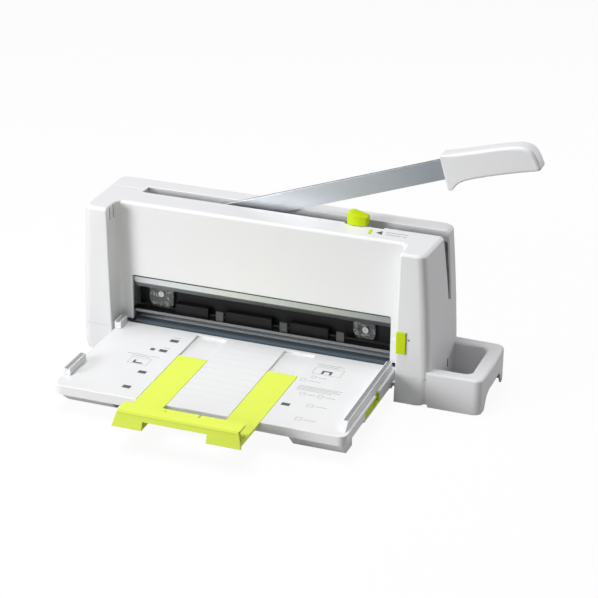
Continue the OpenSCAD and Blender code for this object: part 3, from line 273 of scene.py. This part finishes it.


# Clear moulding with flow marks and a hammered back, with painted glints as pale patches in its colour
def clearFinish(name, colour, shade):
    f = Finish(name, Transmission_Weight=0.6, IOR=1.49, Coat_Weight=0.4)
    flow = f.noise(f.place((60, 60, 200)), scale=1.0)
    hammered = f.noise(f.place(), scale=170.0, roughness=0.65)
    # painted glints: pale patches where the hammered noise is high
    paintedGlint = f.add("ShaderNodeValToRGB", {"stops": [(0.48, (0, 0, 0)), (0.70, (1, 1, 1))]}, hammered)
    f.set("Base Color", f.blend(paintedGlint, shade, colour))
    f.set("Roughness", flow * 0.10 + 0.03)
    f.bump(hammered + flow * 0.4, strength=0.55, distance=0.0012)
    return f.material


# Nylon stick with a pale line along its front edge
def stickFinish(name, colour, line, span):
    f = Finish(name)
    y = f.axes()[1]
    grain = f.noise(f.place((40, 700, 700)), scale=1.0, detail=2.0)
    base = f.blend(grain, colour, tuple(c * 0.85 for c in colour))
    f.set("Base Color", f.blend((y > span[0]) * (y < span[1]), base, line))
    f.set("Roughness", grain * 0.12 + 0.40)
    return f.material


# Grey strip with pale divisions across it, each as [step, width, where they start from the middle]
def scaleFinish(name, colour, line, origin, divisions, half=1.95):
    f = Finish(name)
    x, y = f.axes()[:2]
    along = (y - origin[1]) * 1000
    side = (x - origin[0]) * 1000
    lines = [((along + width / 2) % step < width) * (side > start) for step, width, start in divisions]
    marks = sum(lines[1:], lines[0]) > 0.5
    inside = abs(side) < half
    grain = f.noise(f.place(), scale=700.0, detail=2.0)
    base = f.blend(grain, colour, tuple(c * 0.86 for c in colour))
    f.set("Base Color", f.blend(marks * inside * 0.75, base, line))
    f.set("Roughness", grain * 0.15 + 0.4)
    return f.material


# Printing ink laid on plastic
def inkFinish(name, colour, shade):
    f = Finish(name)
    screen = f.noise(f.place(), scale=1800.0, detail=1.0)
    f.set("Base Color", f.blend(screen, colour, shade))
    f.set("Roughness", screen * 0.2 + 0.42)
    return f.material


stripLow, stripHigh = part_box("scale_strip")
stripOrigin = ((stripLow.x + stripHigh.x) / 2, stripHigh.y)
rulerLines = [(1.0, 0.30, 1.1), (5.0, 0.36, 0.2), (10.0, 0.42, -1.0)]
capLines = [(1.5, 0.6, -999)]   # ribs right across the caps
leverRaise = 19.6               # degrees above level at rest
leverTurn = (0, math.radians(leverRaise), 0)
acrossTurn = (0, math.pi / 2, 0)
# painted shade: the lever's steel darkens from near the pivot toward the grip, in place of a falling
# reflection
leverPaintedShade = {
    "start": spot(-30, 0, 0).x,
    "end": spot(185, 0, 0).x,
    "colour": (0.46, 0.50, 0.55),
    "shade": (0.37, 0.40, 0.445),
}
# painted shade: the beam's steel darkens from its left end to its right
beamPaintedShade = {
    "start": spot(-125, 0, 0).x,
    "end": spot(150, 0, 0).x,
    "colour": (0.42, 0.44, 0.46),
    "shade": (0.34, 0.36, 0.375),
}
# painted shade for the beam's lower lip, darker again than the beam's
lipPaintedShade = {**beamPaintedShade, "colour": (0.25, 0.26, 0.27), "shade": (0.20, 0.21, 0.22)}
beamShadow = {   # painted shadow of the gap under the window's edge
    "above": spot(0, 0, 85.4).z,
    "colour": (0.10, 0.105, 0.11),
}
stickLine = (spot(0, 43.0, 0).y, spot(0, 47.0, 0).y)
bedPaintedShadow = {   # painted shadow on the bed under and behind the blade
    "behind": spot(0, 52.0, 0).y,
    "colour": (0.012, 0.014, 0.016),
    "shade": (0.008, 0.009, 0.011),
}
looks = {
    "shellWhite": (mouldedFinish, dict(colour=(0.83, 0.832, 0.845), shade=(0.79, 0.793, 0.808))),
    "trayWhite": (mouldedFinish, dict(
        colour=(0.84, 0.842, 0.852), shade=(0.81, 0.812, 0.822), grain=0.10)),
    "gaugeLime": (mouldedFinish, dict(
        colour=(0.80, 0.92, 0.12), shade=(0.75, 0.87, 0.09), grain=0.10, rough=0.50, shine=0.25)),
    # painted shade: a darker copy of the lime for the gauge's front wall
    "gaugeShade": (mouldedFinish, dict(
        colour=(0.64, 0.75, 0.085), shade=(0.60, 0.71, 0.07), grain=0.10, rough=0.55, shine=0.2)),
    "catchLime": (mouldedFinish, dict(
        colour=(0.60, 0.76, 0.005), shade=(0.55, 0.71, 0.003), grain=0.08, rough=0.44, shine=0.2)),
    "leverSteel": (brushedFinish, dict(
        colour=(0.93, 0.96, 1.0), shade=(0.79, 0.825, 0.88), turn=leverTurn, rough=0.44, fade=leverPaintedShade)),
    "frameSteel": (brushedFinish, dict(colour=(0.60, 0.61, 0.62), shade=(0.48, 0.49, 0.50), rough=0.40)),
    "beamSteel": (brushedFinish, dict(
        colour=(0.92, 0.94, 0.96), shade=(0.80, 0.83, 0.85), rough=0.46, fade=beamPaintedShade, shadow=beamShadow)),
    # painted shade: a darker copy of the beam's steel for its lower lip
    "lipSteel": (brushedFinish, dict(
        colour=(0.54, 0.56, 0.58), shade=(0.42, 0.44, 0.46), rough=0.46, fade=lipPaintedShade)),
    "clampGrey": (paintFinish, dict(colour=(0.21, 0.215, 0.225), shade=(0.16, 0.165, 0.172), rough=0.50)),
    # the clamp's tabs: dark grey, partly their own tone and partly painted shade
    "tabGrey": (mouldedFinish, dict(
        colour=(0.075, 0.078, 0.082), shade=(0.055, 0.058, 0.061), grain=0.08, rough=0.40)),
    "edgeSteel": (brushedFinish, dict(
        colour=(0.72, 0.73, 0.75), shade=(0.60, 0.61, 0.63), turn=acrossTurn, rough=0.24)),
    "fixingZinc": (turnedFinish, dict(colour=(0.62, 0.63, 0.65), shade=(0.46, 0.47, 0.49))),
    "bushBrass": (turnedFinish, dict(colour=(0.72, 0.52, 0.22), shade=(0.58, 0.40, 0.15), rough=0.3)),
    "bedSlate": (paintFinish, dict(
        colour=(0.142, 0.184, 0.230), shade=(0.114, 0.150, 0.190), field=bedPaintedShadow)),
    # black of the guard and blocks, also laid as painted shade into slits and onto the clamp's top
    "guardBlack": (mouldedFinish, dict(
        colour=(0.014, 0.014, 0.016), shade=(0.009, 0.009, 0.010), grain=0.25, rough=0.46, shine=0.2)),
    "padRubber": (rubberFinish, dict(colour=(0.020, 0.020, 0.021), shade=(0.034, 0.034, 0.035))),
    "stickGrey": (stickFinish, dict(colour=(0.36, 0.40, 0.43), line=(0.86, 0.88, 0.89), span=stickLine)),
    "guideClear": (clearFinish, dict(colour=(0.66, 0.69, 0.69), shade=(0.09, 0.095, 0.095))),
    "scaleGrey": (scaleFinish, dict(
        colour=(0.25, 0.26, 0.28), line=(0.62, 0.63, 0.65), origin=stripOrigin, divisions=rulerLines)),
    "capGrey": (scaleFinish, dict(
        colour=(0.30, 0.305, 0.315), line=(0.52, 0.525, 0.535), origin=stripOrigin, divisions=capLines,
        half=999)),
    "inkDark": (inkFinish, dict(colour=(0.085, 0.088, 0.095), shade=(0.13, 0.133, 0.14))),
    "inkPale": (inkFinish, dict(colour=(0.30, 0.305, 0.32), shade=(0.40, 0.405, 0.42))),
    "inkFaint": (inkFinish, dict(colour=(0.60, 0.605, 0.615), shade=(0.66, 0.665, 0.675))),
}
finishes = {name: make(name, **look) for name, (make, look) in looks.items()}
print("stage: finishes,", len(finishes))

nodeFinish = {
    "shellWhite": ["base", "front_cover", "rear_cover", "handle_grip", "catch_bolt"],
    "trayWhite": ["tray_deck", "right_fence", "left_fence_front", "left_fence_rear"],
    "gaugeLime": ["paper_gauge"],
    "catchLime": ["lock_slider", "tray_catch", "catch_keeper"],
    "leverSteel": ["lever_arm"],
    "frameSteel": ["left_frame", "right_frame", "guide_beam", "guide_pins", "pivot_bracket", "pivot_pin",
                   "drive_pin", "clamp_rods", "clamp_springs", "return_spring", "tray_hinge_pins",
                   "blade_carriage"],
    "beamSteel": ["upper_beam"],
    "clampGrey": ["clamp_bar"],
    "edgeSteel": ["blade"],
    "fixingZinc": ["base_screws", "cover_screws", "frame_screws", "bed_screws", "beam_screws",
                   "clear_guide_screws", "blade_screws", "bracket_screws", "pivot_clip", "grip_screws"],
    "bushBrass": ["pivot_bush"],
    "bedSlate": ["bed_plate"],
    "guardBlack": ["blade_guard", "clamp_blocks", "lock_slider_plate"],
    "padRubber": ["rubber_feet", "clamp_pad", "tray_pads"],
    "stickGrey": ["cutting_stick", "pivot_spacer"],
    "guideClear": ["clear_guide_left", "clear_guide_right"],
    "scaleGrey": ["scale_strip"],
    "capGrey": ["fence_caps"],
}
finishOf = {node: name for name, group in nodeFinish.items() for node in group}
for node, name in finishOf.items():
    mesh = nodes[node].data
    mesh.materials.clear()
    mesh.materials.append(finishes[name])
bodyOf = {node: body for body, group in frame["record"]["behaviour"]["bodies"].items() for node in group}


def deselect():
    if bpy.context.mode != "OBJECT":
        bpy.ops.object.mode_set(mode="OBJECT")
    bpy.ops.object.select_all(action="DESELECT")


def only(piece):
    deselect()
    piece.select_set(True)
    bpy.context.view_layer.objects.active = piece


# Leaves a piece in edit mode with the faces that pass the test selected
def pickFaces(piece, test):
    only(piece)
    bpy.ops.object.mode_set(mode="EDIT")
    bpy.ops.mesh.select_mode(type="FACE")
    bpy.ops.mesh.select_all(action="DESELECT")
    bpy.ops.object.mode_set(mode="OBJECT")
    for face in piece.data.polygons:
        face.select = test(face)
    bpy.ops.object.mode_set(mode="EDIT")


def settle(piece, body, finish):
    only(piece)
    bpy.ops.object.transform_apply(location=True, rotation=True, scale=True)
    piece.data.materials.clear()
    piece.data.materials.append(finishes[finish])
    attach(piece, body)
    return piece


# Round edges shade smoothly and the flat faces beside them stay flat
def shaded(piece, angle):
    only(piece)
    bpy.ops.object.shade_smooth_by_angle(angle=math.radians(angle))
    piece.modifiers.new("even", "WEIGHTED_NORMAL").keep_sharp = True
    bpy.ops.object.modifier_apply(modifier="even")


easing = {
    "weld": 0.000004,   # metres between points that become one
    "flat": 0.4,        # degrees between faces that become one
    "sharp": 30,        # degrees from which an edge is eased
    "smooth": 32,       # degrees up to which faces shade as one
}


# A CAD piece with its moulded edges eased: a rule tests an edge's middle and direction and gives a radius
def softened(spec):
    node = spec["node"]
    piece = bpy.data.objects.new(node + "_soft", nodes[node].data.copy())
    bpy.context.collection.objects.link(piece)
    only(piece)
    bpy.ops.object.mode_set(mode="EDIT")
    bpy.ops.mesh.select_all(action="SELECT")
    bpy.ops.mesh.customdata_custom_splitnormals_clear()
    bpy.ops.mesh.remove_doubles(threshold=easing["weld"])
    bpy.ops.mesh.dissolve_limited(angle_limit=math.radians(easing["flat"]))
    bpy.ops.object.mode_set(mode="OBJECT")
    rules = spec["rules"]
    widest = max(width for _, width in rules)
    least = math.radians(easing["sharp"])
    edit = bmesh.new()
    edit.from_mesh(piece.data)
    weight = edit.edges.layers.float.new("bevel_weight_edge")
    for edge in edit.edges:
        if len(edge.link_faces) != 2 or edge.calc_face_angle(0) < least or not edge.is_convex:
            continue
        a, b = (local(v.co) for v in edge.verts)
        for test, width in rules:
            if test((a + b) / 2, b - a):
                edge[weight] = width / widest
                break
    edit.to_mesh(piece.data)
    edit.free()
    ease = piece.modifiers.new("ease", "BEVEL")
    ease.limit_method = "WEIGHT"
    ease.width = widest / 1000
    ease.segments = spec["segments"]
    ease.use_clamp_overlap = False
    bpy.ops.object.modifier_apply(modifier="ease")
    shaded(piece, spec.get("smooth", easing["smooth"]))
    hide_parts(node)
    settle(piece, bodyOf[node], finishOf[node])
    for index, (finish, test) in enumerate(spec.get("also", []), 1):   # faces with a finish of their own
        piece.data.materials.append(finishes[finish])
        for face in piece.data.polygons:
            if test(local(face.center)):
                face.material_index = index


def near(value, place, slack=0.35):
    return abs(value - place) < slack


baseTop, bodyTop, bodyBack, panelFront = 34.0, 179.0, 103.0, 28.0
trayTop, trayUnder, loopTop, throatHalf = 31.0, 17.0, 42.0, 157
tongueSlits = (9.01, 10.21, 18.01, 19.21)   # sides of the two slits by the left post's snap tongue
strapSlit = (62.86, 64.86)                  # sides of the slit in the right end


def anyEdge(m, d):
    return True


def onSeam(m):
    return near(m.z, baseTop, 0.1)


def inWindow(m):
    return near(m.y, panelFront, 0.3) and abs(m.x) < throatHalf


# inner faces of the tongue's slits, which are painted black as painted shade
def inTongueSlit(c):
    return -176 < c.x < -172.9 and 160 < c.z < 177.4 and any(near(c.y, y, 0.03) for y in tongueSlits)


# inner faces of the strap slit, which are painted black as painted shade
def inStrapSlit(c):
    return c.x > 205 and near(c.z, 26.5, 3) and any(near(c.y, y, 0.03) for y in strapSlit)


softPieces = [
    {"node": "front_cover", "segments": 4, "rules": [
        (lambda m, d: near(m.z, bodyTop) and near(m.y, panelFront, 0.6), 3.6),   # top of the panel
        (lambda m, d: (168 < abs(m.x) < 176 and m.y < 27 and m.z > 40
                       and (m.y < 1.6 or m.z > 177)), 1.8),                      # inner edges of the posts
        (lambda m, d: m.z > 175.8 and (m.y < 1.6 or abs(m.x) > 190), 1.4),       # outer edges of the top
        (lambda m, d: inWindow(m) and 86 < m.z < 90, 1.1),
        (lambda m, d: inWindow(m) and m.z < 90, 0.5),
        (lambda m, d: near(m.z, bodyTop) and m.y > 57, 0.8),                     # the lever's slot
        (lambda m, d: onSeam(m) and (m.y < 0.4 or abs(m.x) > 195), 0.35),
    ], "also": [("guardBlack", inTongueSlit)]},
    {"node": "rear_cover", "segments": 3, "rules": [
        (lambda m, d: m.x > 190 and abs(d.z) > 5 and m.z > 100 and m.y < 86, 0.9),   # slot down the right end
        (lambda m, d: m.z > 175.8 and (m.y > 100 or abs(m.x) > 190), 1.0),
        (lambda m, d: near(m.z, bodyTop) and m.y < 80, 0.9),
        (lambda m, d: near(m.y, bodyBack, 0.2) and abs(m.x) < throatHalf and m.z < 63, 0.5),
        (lambda m, d: onSeam(m) and (m.y > 102.6 or abs(m.x) > 195), 0.35),
    ]},
    {"node": "base", "segments": 4, "smooth": 44, "rules": [
        (lambda m, d: near(m.z, loopTop) and m.x > 217, 3.2),
        (lambda m, d: m.x > 262 and m.z < 20, 1.0),                              # arch under the loop
        (lambda m, d: onSeam(m) and (m.y < 0.4 or m.y > 102.6 or m.x < -195), 0.35),
        (lambda m, d: m.y < 0.4 and 168 < abs(m.x) < 174 and m.z > 9, 1.0),      # beside the tray
    ], "also": [("guardBlack", inStrapSlit)]},
    {"node": "tray_deck", "segments": 3, "rules": [
        (lambda m, d: near(m.z, trayTop, 0.1) and (m.y < -139 or abs(m.x) > 160 or m.y > 23), 1.0),
        (lambda m, d: near(m.z, trayUnder, 0.1) and (m.y < -140 or abs(m.x) > 165 or m.y > 23), 0.8),
        (lambda m, d: near(m.z, trayTop, 0.1), 0.35),
        (lambda m, d: m.z < 16 and m.y < -100, 0.7),                             # the feet
    ]},
    {"node": "paper_gauge", "segments": 4, "rules": [
        (lambda m, d: (abs(d.z) > 2 and abs(d.y) < 0.1 and abs(m.x) > 60
                       and m.y > -185 and m.z > 40), 5.0),                       # rear corners of the lip
        (lambda m, d: m.z > 43.5 and m.y < -198, 2.4),                           # ridge over the wall
        (lambda m, d: m.z > 42 and m.y > -183, 0.7),
        (anyEdge, 0.4),
    # the front wall takes the darker lime as painted shade
    ], "also": [("gaugeShade", lambda c: c.y < -199)]},
    {"node": "right_fence", "segments": 2, "rules": [(anyEdge, 0.45)]},
    {"node": "left_fence_front", "segments": 2, "rules": [(anyEdge, 0.5)]},
    {"node": "left_fence_rear", "segments": 2, "rules": [(anyEdge, 0.5)]},
    {"node": "lock_slider", "segments": 4, "rules": [
        (lambda m, d: m.z > 180, 1.6),
        (lambda m, d: m.z > bodyTop and m.y < 60, 0.9),
        (anyEdge, 0.2),
    ]},
    {"node": "tray_catch", "segments": 3, "rules": [(lambda m, d: m.y < -1.5, 0.7), (anyEdge, 0.2)]},
    {"node": "catch_keeper", "segments": 2, "rules": [(anyEdge, 0.3)]},
    {"node": "lever_arm", "segments": 2, "rules": [(anyEdge, 0.4)]},
    {"node": "upper_beam", "segments": 2, "rules": [(anyEdge, 0.3)],
     # the lower lip takes the darker steel as painted shade
     "also": [("lipSteel", lambda c: c.z < 79)]},
    {"node": "clamp_bar", "segments": 2, "rules": [(anyEdge, 0.25)],
     # painted shade: the clamp's top is painted black and its tabs dark grey
     "also": [("guardBlack", lambda c: c.z > 44.3), ("tabGrey", lambda c: c.z > 46.5)]},
    {"node": "clamp_blocks", "segments": 2, "rules": [(anyEdge, 0.4)]},
    {"node": "clear_guide_left", "segments": 3, "rules": [(anyEdge, 0.7)]},
    {"node": "clear_guide_right", "segments": 3, "rules": [(anyEdge, 0.7)]},
]
for spec in softPieces:
    softened(spec)
print("stage: eased mouldings,", len(softPieces))

# Springs: each is replaced by a rigid copy in place; its start and end points are worked out but not used, so
# no point follows the housing or the moving body
springs = [
    {"node": "return_spring", "to": "lever", "start": (0, 82.6, 0), "end": (0, 77.5, 0)},   # along its axis
    {"node": "clamp_springs", "to": "clamp", "start": (0, 0, 76.6), "end": (0, 0, 45.0)},
]
for spec in springs:
    node = spec["node"]
    piece = bpy.data.objects.new(node + "_wound", nodes[node].data.copy())
    bpy.context.collection.objects.link(piece)
    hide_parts(node)
    spot(*spec["start"])
    spot(*spec["end"])
    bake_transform(piece)
print("stage: springs,", len(springs))


# A flat face with the given outline, as [x, y] pairs, ready to be raised
def sheetFrom(name, outline, lift):
    deselect()
    bpy.ops.mesh.primitive_circle_add(vertices=len(outline), radius=0.01, fill_type="NGON")
    piece = bpy.context.active_object
    piece.name = name
    for vertex, point in zip(piece.data.vertices, outline):
        vertex.co = lift(*point)
    return piece


def raiseBy(piece, move):
    only(piece)
    bpy.ops.object.mode_set(mode="EDIT")
    bpy.ops.mesh.select_all(action="SELECT")
    bpy.ops.mesh.extrude_region_move(TRANSFORM_OT_translate={"value": move})
    bpy.ops.mesh.select_all(action="SELECT")
    bpy.ops.mesh.normals_make_consistent(inside=False)
    bpy.ops.object.mode_set(mode="OBJECT")


def joined(pieces, name):
    deselect()
    for piece in pieces:
        piece.select_set(True)
    bpy.context.view_layer.objects.active = pieces[0]
    if len(pieces) > 1:
        bpy.ops.object.join()
    whole = bpy.context.active_object
    whole.name = name
    return whole


# The grip: an outline along the arm, as [along, up, draw-in of its edge], raised across the arm in rings
gripShape = {
    "pivot": (-140.0, 73.0, 133.0),
    "raise": leverRaise,
    "thick": 22.0,
    "edge": 4.5,        # depth of the round edges
    "steps": 6,         # rings of each round edge
    "between": 4,       # points added between two of the outline
    "smooth": 50,
    "outline": [
        (358.5, -8, 2.8), (359.2, 4, 2.6), (359.9, 12.5, 1.8), (360.4, 16.2, 1.2), (361.7, 17.6, 1.0),
        (365, 17.5, 1.6), (375, 16.5, 2.8), (388, 15.5, 3.2), (400, 14.6, 3.2), (412, 13.8, 3.2),
        (424, 12.9, 3.2), (436, 11.7, 3.4), (445, 10.4, 3.8), (452.5, 8.5, 4.4), (458.4, 5.3, 5.0),
        (462.3, 0.8, 5.2), (464.2, -5, 5.2), (465.2, -11, 5.0), (465.6, -16.5, 4.2), (465.2, -19.5, 3.2),
        (463.2, -21.1, 3.0), (459, -21.1, 3.2), (450, -20.1, 3.4), (436, -18.6, 3.4), (422, -17.4, 3.4),
        (408, -16.5, 3.4), (396, -15.9, 3.4), (386, -15.7, 3.2), (379, -16.0, 2.8), (373, -17.0, 2.2),
        (368.6, -18.8, 1.6), (365.2, -21.2, 1.0), (362.6, -22.9, 0.7), (360.4, -23.0, 0.6),
        (358.9, -21.6, 0.9), (358.2, -18.5, 1.6), (358.2, -13.5, 2.4)],
}


# A smooth closed curve through the points
def rounded(points, between):
    path = []
    count = len(points)
    for i in range(count):
        a, b, c, d = (Vector(points[(i + k) % count]) for k in (-1, 0, 1, 2))
        bend = 2 * a - 5 * b + 4 * c - d
        twist = 3 * b - a - 3 * c + d
        for k in range(between + 1):
            t = k / (between + 1)
            path.append((2 * b + (c - a) * t + bend * t ** 2 + twist * t ** 3) / 2)
    return path


def makeGrip(spec):
    a = math.radians(spec["raise"])
    px, py, pz = spec["pivot"]
    edge, steps, thick = spec["edge"], spec["steps"], spec["thick"]
    path = rounded(spec["outline"], spec["between"])
    turns = [math.pi / 2 * k / steps for k in range(steps + 1)]
    rings = [(edge * (1 - math.cos(t)), 1 - math.sin(t)) for t in turns]   # depth, share of the draw-in
    rings += [(thick - depth, draw) for depth, draw in reversed(rings)]

    def lift(u, v, depth):
        return spot(px + u * math.cos(a) - v * math.sin(a), py - thick / 2 + depth,
                    pz + u * math.sin(a) + v * math.cos(a))

    piece = sheetFrom("handle_grip_shaped", path, lambda u, v, ease: lift(u, v, 0))
    for ring, after in zip(rings, rings[1:]):
        step = (0, (after[0] - ring[0]) / 1000, 0)
        reach = max(vertex.co.y for vertex in piece.data.vertices) - 0.00001
        pickFaces(piece, lambda face: len(face.vertices) > 4 and face.center.y > reach)
        bpy.ops.mesh.extrude_region_move(TRANSFORM_OT_translate={"value": step})
        bpy.ops.object.mode_set(mode="OBJECT")
    tree = KDTree(len(path))
    for i, (u, v, ease) in enumerate(path):
        tree.insert(lift(u, v, 0) * 1000, i)
    tree.balance()
    front = lift(0, 0, 0).y
    for vertex in piece.data.vertices:
        depth = (vertex.co.y - front) * 1000
        i = tree.find(Vector((vertex.co.x, front, vertex.co.z)) * 1000)[1]
        along = (path[(i + 1) % len(path)] - path[i - 1]).xy.normalized()
        draw = min(rings, key=lambda ring: abs(ring[0] - depth))[1] * path[i].z
        vertex.co = lift(path[i].x + along.y * draw, path[i].y - along.x * draw, depth)
    only(piece)
    bpy.ops.object.mode_set(mode="EDIT")
    bpy.ops.mesh.select_all(action="SELECT")
    bpy.ops.mesh.normals_make_consistent(inside=False)
    bpy.ops.mesh.select_mode(type="VERT")
    bpy.ops.object.mode_set(mode="OBJECT")
    shaded(piece, spec["smooth"])
    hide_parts("handle_grip")
    settle(piece, "lever", "shellWhite")


makeGrip(gripShape)
print("stage: grip")

# Printed marks stand on a face and sink a little into it
inkSet = {"sink": 0.02, "thick": 0.1}


def oblong(x, y, w, d):
    return [(x, y), (x + w, y), (x + w, y + d), (x, y + d)]


def levelAt(height):
    return lambda a, b: spot(a, b, height - inkSet["sink"])


# Generic printing on the tray: filled size marks, outlined size marks, rows and two setting diagrams
trayMarks = {
    "filled": [(-94.8, -8.4, 10, 6.6), (-96.5, -35.5, 9.5, 6.2), (-107, -35.6, 5.4, 5.4),
               (-96.5, -92.0, 9.5, 6.2), (-97.8, -129.8, 9.5, 6.4), (77.2, -105.4, 9.6, 6.2)],
    "outlined": [(76.6, -44.6, 6, 6), (87.5, -76.0, 6, 6), (108.0, -76.0, 6, 6), (104.4, -99.2, 7, 6.4),
                 (102.8, -131.0, 7, 6.4), (86, -34.0, 5, 5)],
    "outlineWidth": 0.45,
    "bars": [(-112.4, -71.0, 11.5, 2.6), (-112.4, -68.35, 2.6, 4.75), (92.6, -21.6, 2.8, 5.75),
             (101.6, -21.6, 2.8, 5.75), (92.6, -15.8, 11.8, 2.4)],
    "frames": [(-117.8, -72.6, 23.4, 15.4), (82.6, -23.4, 33.0, 17.0)],
    "frameWidth": 0.4,
    "rows": [(-127.5, -50.4, 26.0), (-98.6, -50.4, 10.0), (-120.0, -54.2, 22.0), (-93.0, 2.6, 7.5),
             (-93.6, -25.2, 7.5), (81.0, 0.2, 32.0), (84.0, -3.6, 24.0), (85.0, -42.4, 14.5),
             (93.4, -31.8, 10.0), (95.6, -73.6, 10.0), (116.2, -73.6, 12.0), (113.6, -96.4, 12.6),
             (112.0, -128.4, 15.0), (80.0, -55.6, 50.0), (80.0, -58.6, 46.0), (80.0, -61.6, 50.0),
             (80.0, -64.6, 40.0)],
    "rowWidth": 0.7,
    "guides": [4.0, -10.0, -24.0, -38.0, -52.0, -66.0, -80.0, -94.0, -108.0, -122.0],
    "guideSpan": (-34.0, 68.0),   # where the guide lines start, and their length
    "guideWidth": 0.28,
}


def makeTrayMarks(spec):
    up = (0, 0, inkSet["thick"] / 1000)
    flat = levelAt(trayTop)

    def slab(*place):
        piece = sheetFrom("mark", oblong(*place), flat)
        raiseBy(piece, up)
        return piece

    def ring(place, line):
        piece = sheetFrom("mark", oblong(*place), flat)
        only(piece)
        bpy.ops.object.mode_set(mode="EDIT")
        bpy.ops.mesh.select_all(action="SELECT")
        bpy.ops.mesh.inset(thickness=line / 1000)
        bpy.ops.mesh.delete(type="FACE")
        bpy.ops.object.mode_set(mode="OBJECT")
        raiseBy(piece, up)
        return piece

    dark = [slab(*m) for m in spec["filled"] + spec["bars"]]
    settle(joined(dark, "tray_marks_dark"), "tray", "inkDark")
    pale = [ring(m, spec["outlineWidth"]) for m in spec["outlined"]]
    pale += [ring(m, spec["frameWidth"]) for m in spec["frames"]]
    pale += [slab(x, y, w, spec["rowWidth"]) for x, y, w in spec["rows"]]
    settle(joined(pale, "tray_marks_pale"), "tray", "inkPale")
    start, length = spec["guideSpan"]
    faint = [slab(start, y, length, spec["guideWidth"]) for y in spec["guides"]]
    settle(joined(faint, "tray_marks_faint"), "tray", "inkFaint")


makeTrayMarks(trayMarks)

# Signs on the body: an arrow and bars by the lock slider, a lime tick at its end, a pointer by the tray catch
bodySigns = {
    "arrow": [(130.8, 45.6), (138.6, 41.4), (136.6, 51.8)],
    "bars": [(141.6, 49.4, 24.6), (142.4, 43.6, 17.0), (161.4, 43.6, 4.6)],
    "barWidth": 0.8,
    "tick": [(123.2, 38.6), (126.8, 38.6), (125.4, 52.0), (121.8, 52.0)],
    "tickThick": 0.2,
    "pointer": [(184.0, 78.4), (186.6, 76.9), (186.6, 79.9)],
}


def makeBodySigns(spec):
    thick = inkSet["thick"] / 1000
    flat = levelAt(bodyTop)
    marks = [sheetFrom("sign", spec["arrow"], flat)]
    marks += [sheetFrom("sign", oblong(x, y, w, spec["barWidth"]), flat) for x, y, w in spec["bars"]]
    for mark in marks:
        raiseBy(mark, (0, 0, thick))
    upright = sheetFrom("sign", spec["pointer"], lambda a, b: spot(a, inkSet["sink"], b))
    raiseBy(upright, (0, -thick, 0))
    settle(joined(marks + [upright], "body_signs"), "housing", "inkDark")
    tick = sheetFrom("lock_tick", spec["tick"], flat)
    raiseBy(tick, (0, 0, spec["tickThick"] / 1000))
    settle(tick, "housing", "catchLime")


makeBodySigns(bodySigns)
print("stage: marks and signs")

# Light: a soft key low at the left front, a softer one above, a weak one behind the right end, a pale room
studio = {
    "lamps": [
        {"name": "key", "place": (-1330, -1620, 590), "size": 0.9, "power": 32},
        {"name": "above", "place": (-420, -200, 2300), "size": 1.6, "power": 40},
        {"name": "behind", "place": (1350, 1250, 600), "size": 0.9, "power": 9},
    ],
    "aim": (40, 0, 90),
    "room": 0.18,
    "bounce": 0.42,         # how pale the floor is to the light that leaves it
    "paper": 0.90,          # how pale it is to the camera
    "glow": 0.93,           # how far it is seen as plain white
    "floorSize": 30,        # metres
    "floorDrop": 0.0003,    # metres below the desk's plane
}


def makeLamps(spec):
    for lamp in spec["lamps"]:
        data = bpy.data.lights.new(lamp["name"], "AREA")
        data.shape = "DISK"
        data.size = lamp["size"]
        data.energy = lamp["power"]
        light = bpy.data.objects.new(lamp["name"], data)
        light.location = spot(*lamp["place"])
        light.rotation_euler = (spot(*spec["aim"]) - light.location).to_track_quat("-Z", "Y").to_euler()
        bpy.context.collection.objects.link(light)


# The room is plain white to the camera and through clear plastic, and dimmer as a light
def makeRoom(spec):
    world = bpy.data.worlds.new("room")
    bpy.context.scene.world = world
    world.use_nodes = True
    tree = world.node_tree
    path = tree.nodes.new("ShaderNodeLightPath")
    seen = tree.nodes.new("ShaderNodeMath")
    seen.operation = "MAXIMUM"
    tree.links.new(path.outputs["Is Camera Ray"], seen.inputs[0])
    tree.links.new(path.outputs["Is Transmission Ray"], seen.inputs[1])
    level = tree.nodes.new("ShaderNodeMapRange")
    level.inputs["To Min"].default_value = spec["room"]
    level.inputs["To Max"].default_value = 1.0
    tree.links.new(seen.outputs[0], level.inputs["Value"])
    tree.links.new(level.outputs[0], tree.nodes["Background"].inputs["Strength"])
    tree.nodes["Background"].inputs["Color"].default_value = (1, 1, 1, 1)


def makeFloor(spec):
    deselect()
    bpy.ops.mesh.primitive_plane_add(size=spec["floorSize"])
    floor = bpy.context.active_object
    floor.name = "floor"
    floor.location = (0, 0, -spec["floorDrop"])
    f = Finish("floorPaper", Roughness=0.9, Specular_IOR_Level=0.0)
    seen = f.add("ShaderNodeLightPath", out="Is Camera Ray")
    f.set("Base Color", f.blend(seen, (spec["bounce"],) * 3, (spec["paper"],) * 3))
    glow = f.add("ShaderNodeEmission", None, (1, 1, 1), 1.0)
    paper = Wire(f, f.shader.outputs[0])
    mixed = f.add("ShaderNodeMixShader", None, seen * spec["glow"], paper, glow)
    f.tree.links.new(mixed.socket, f.tree.nodes["Material Output"].inputs["Surface"])
    floor.data.materials.append(f.material)


makeLamps(studio)
makeRoom(studio)
makeFloor(studio)
bpy.context.scene.view_settings.view_transform = "Standard"
print("stage: studio")
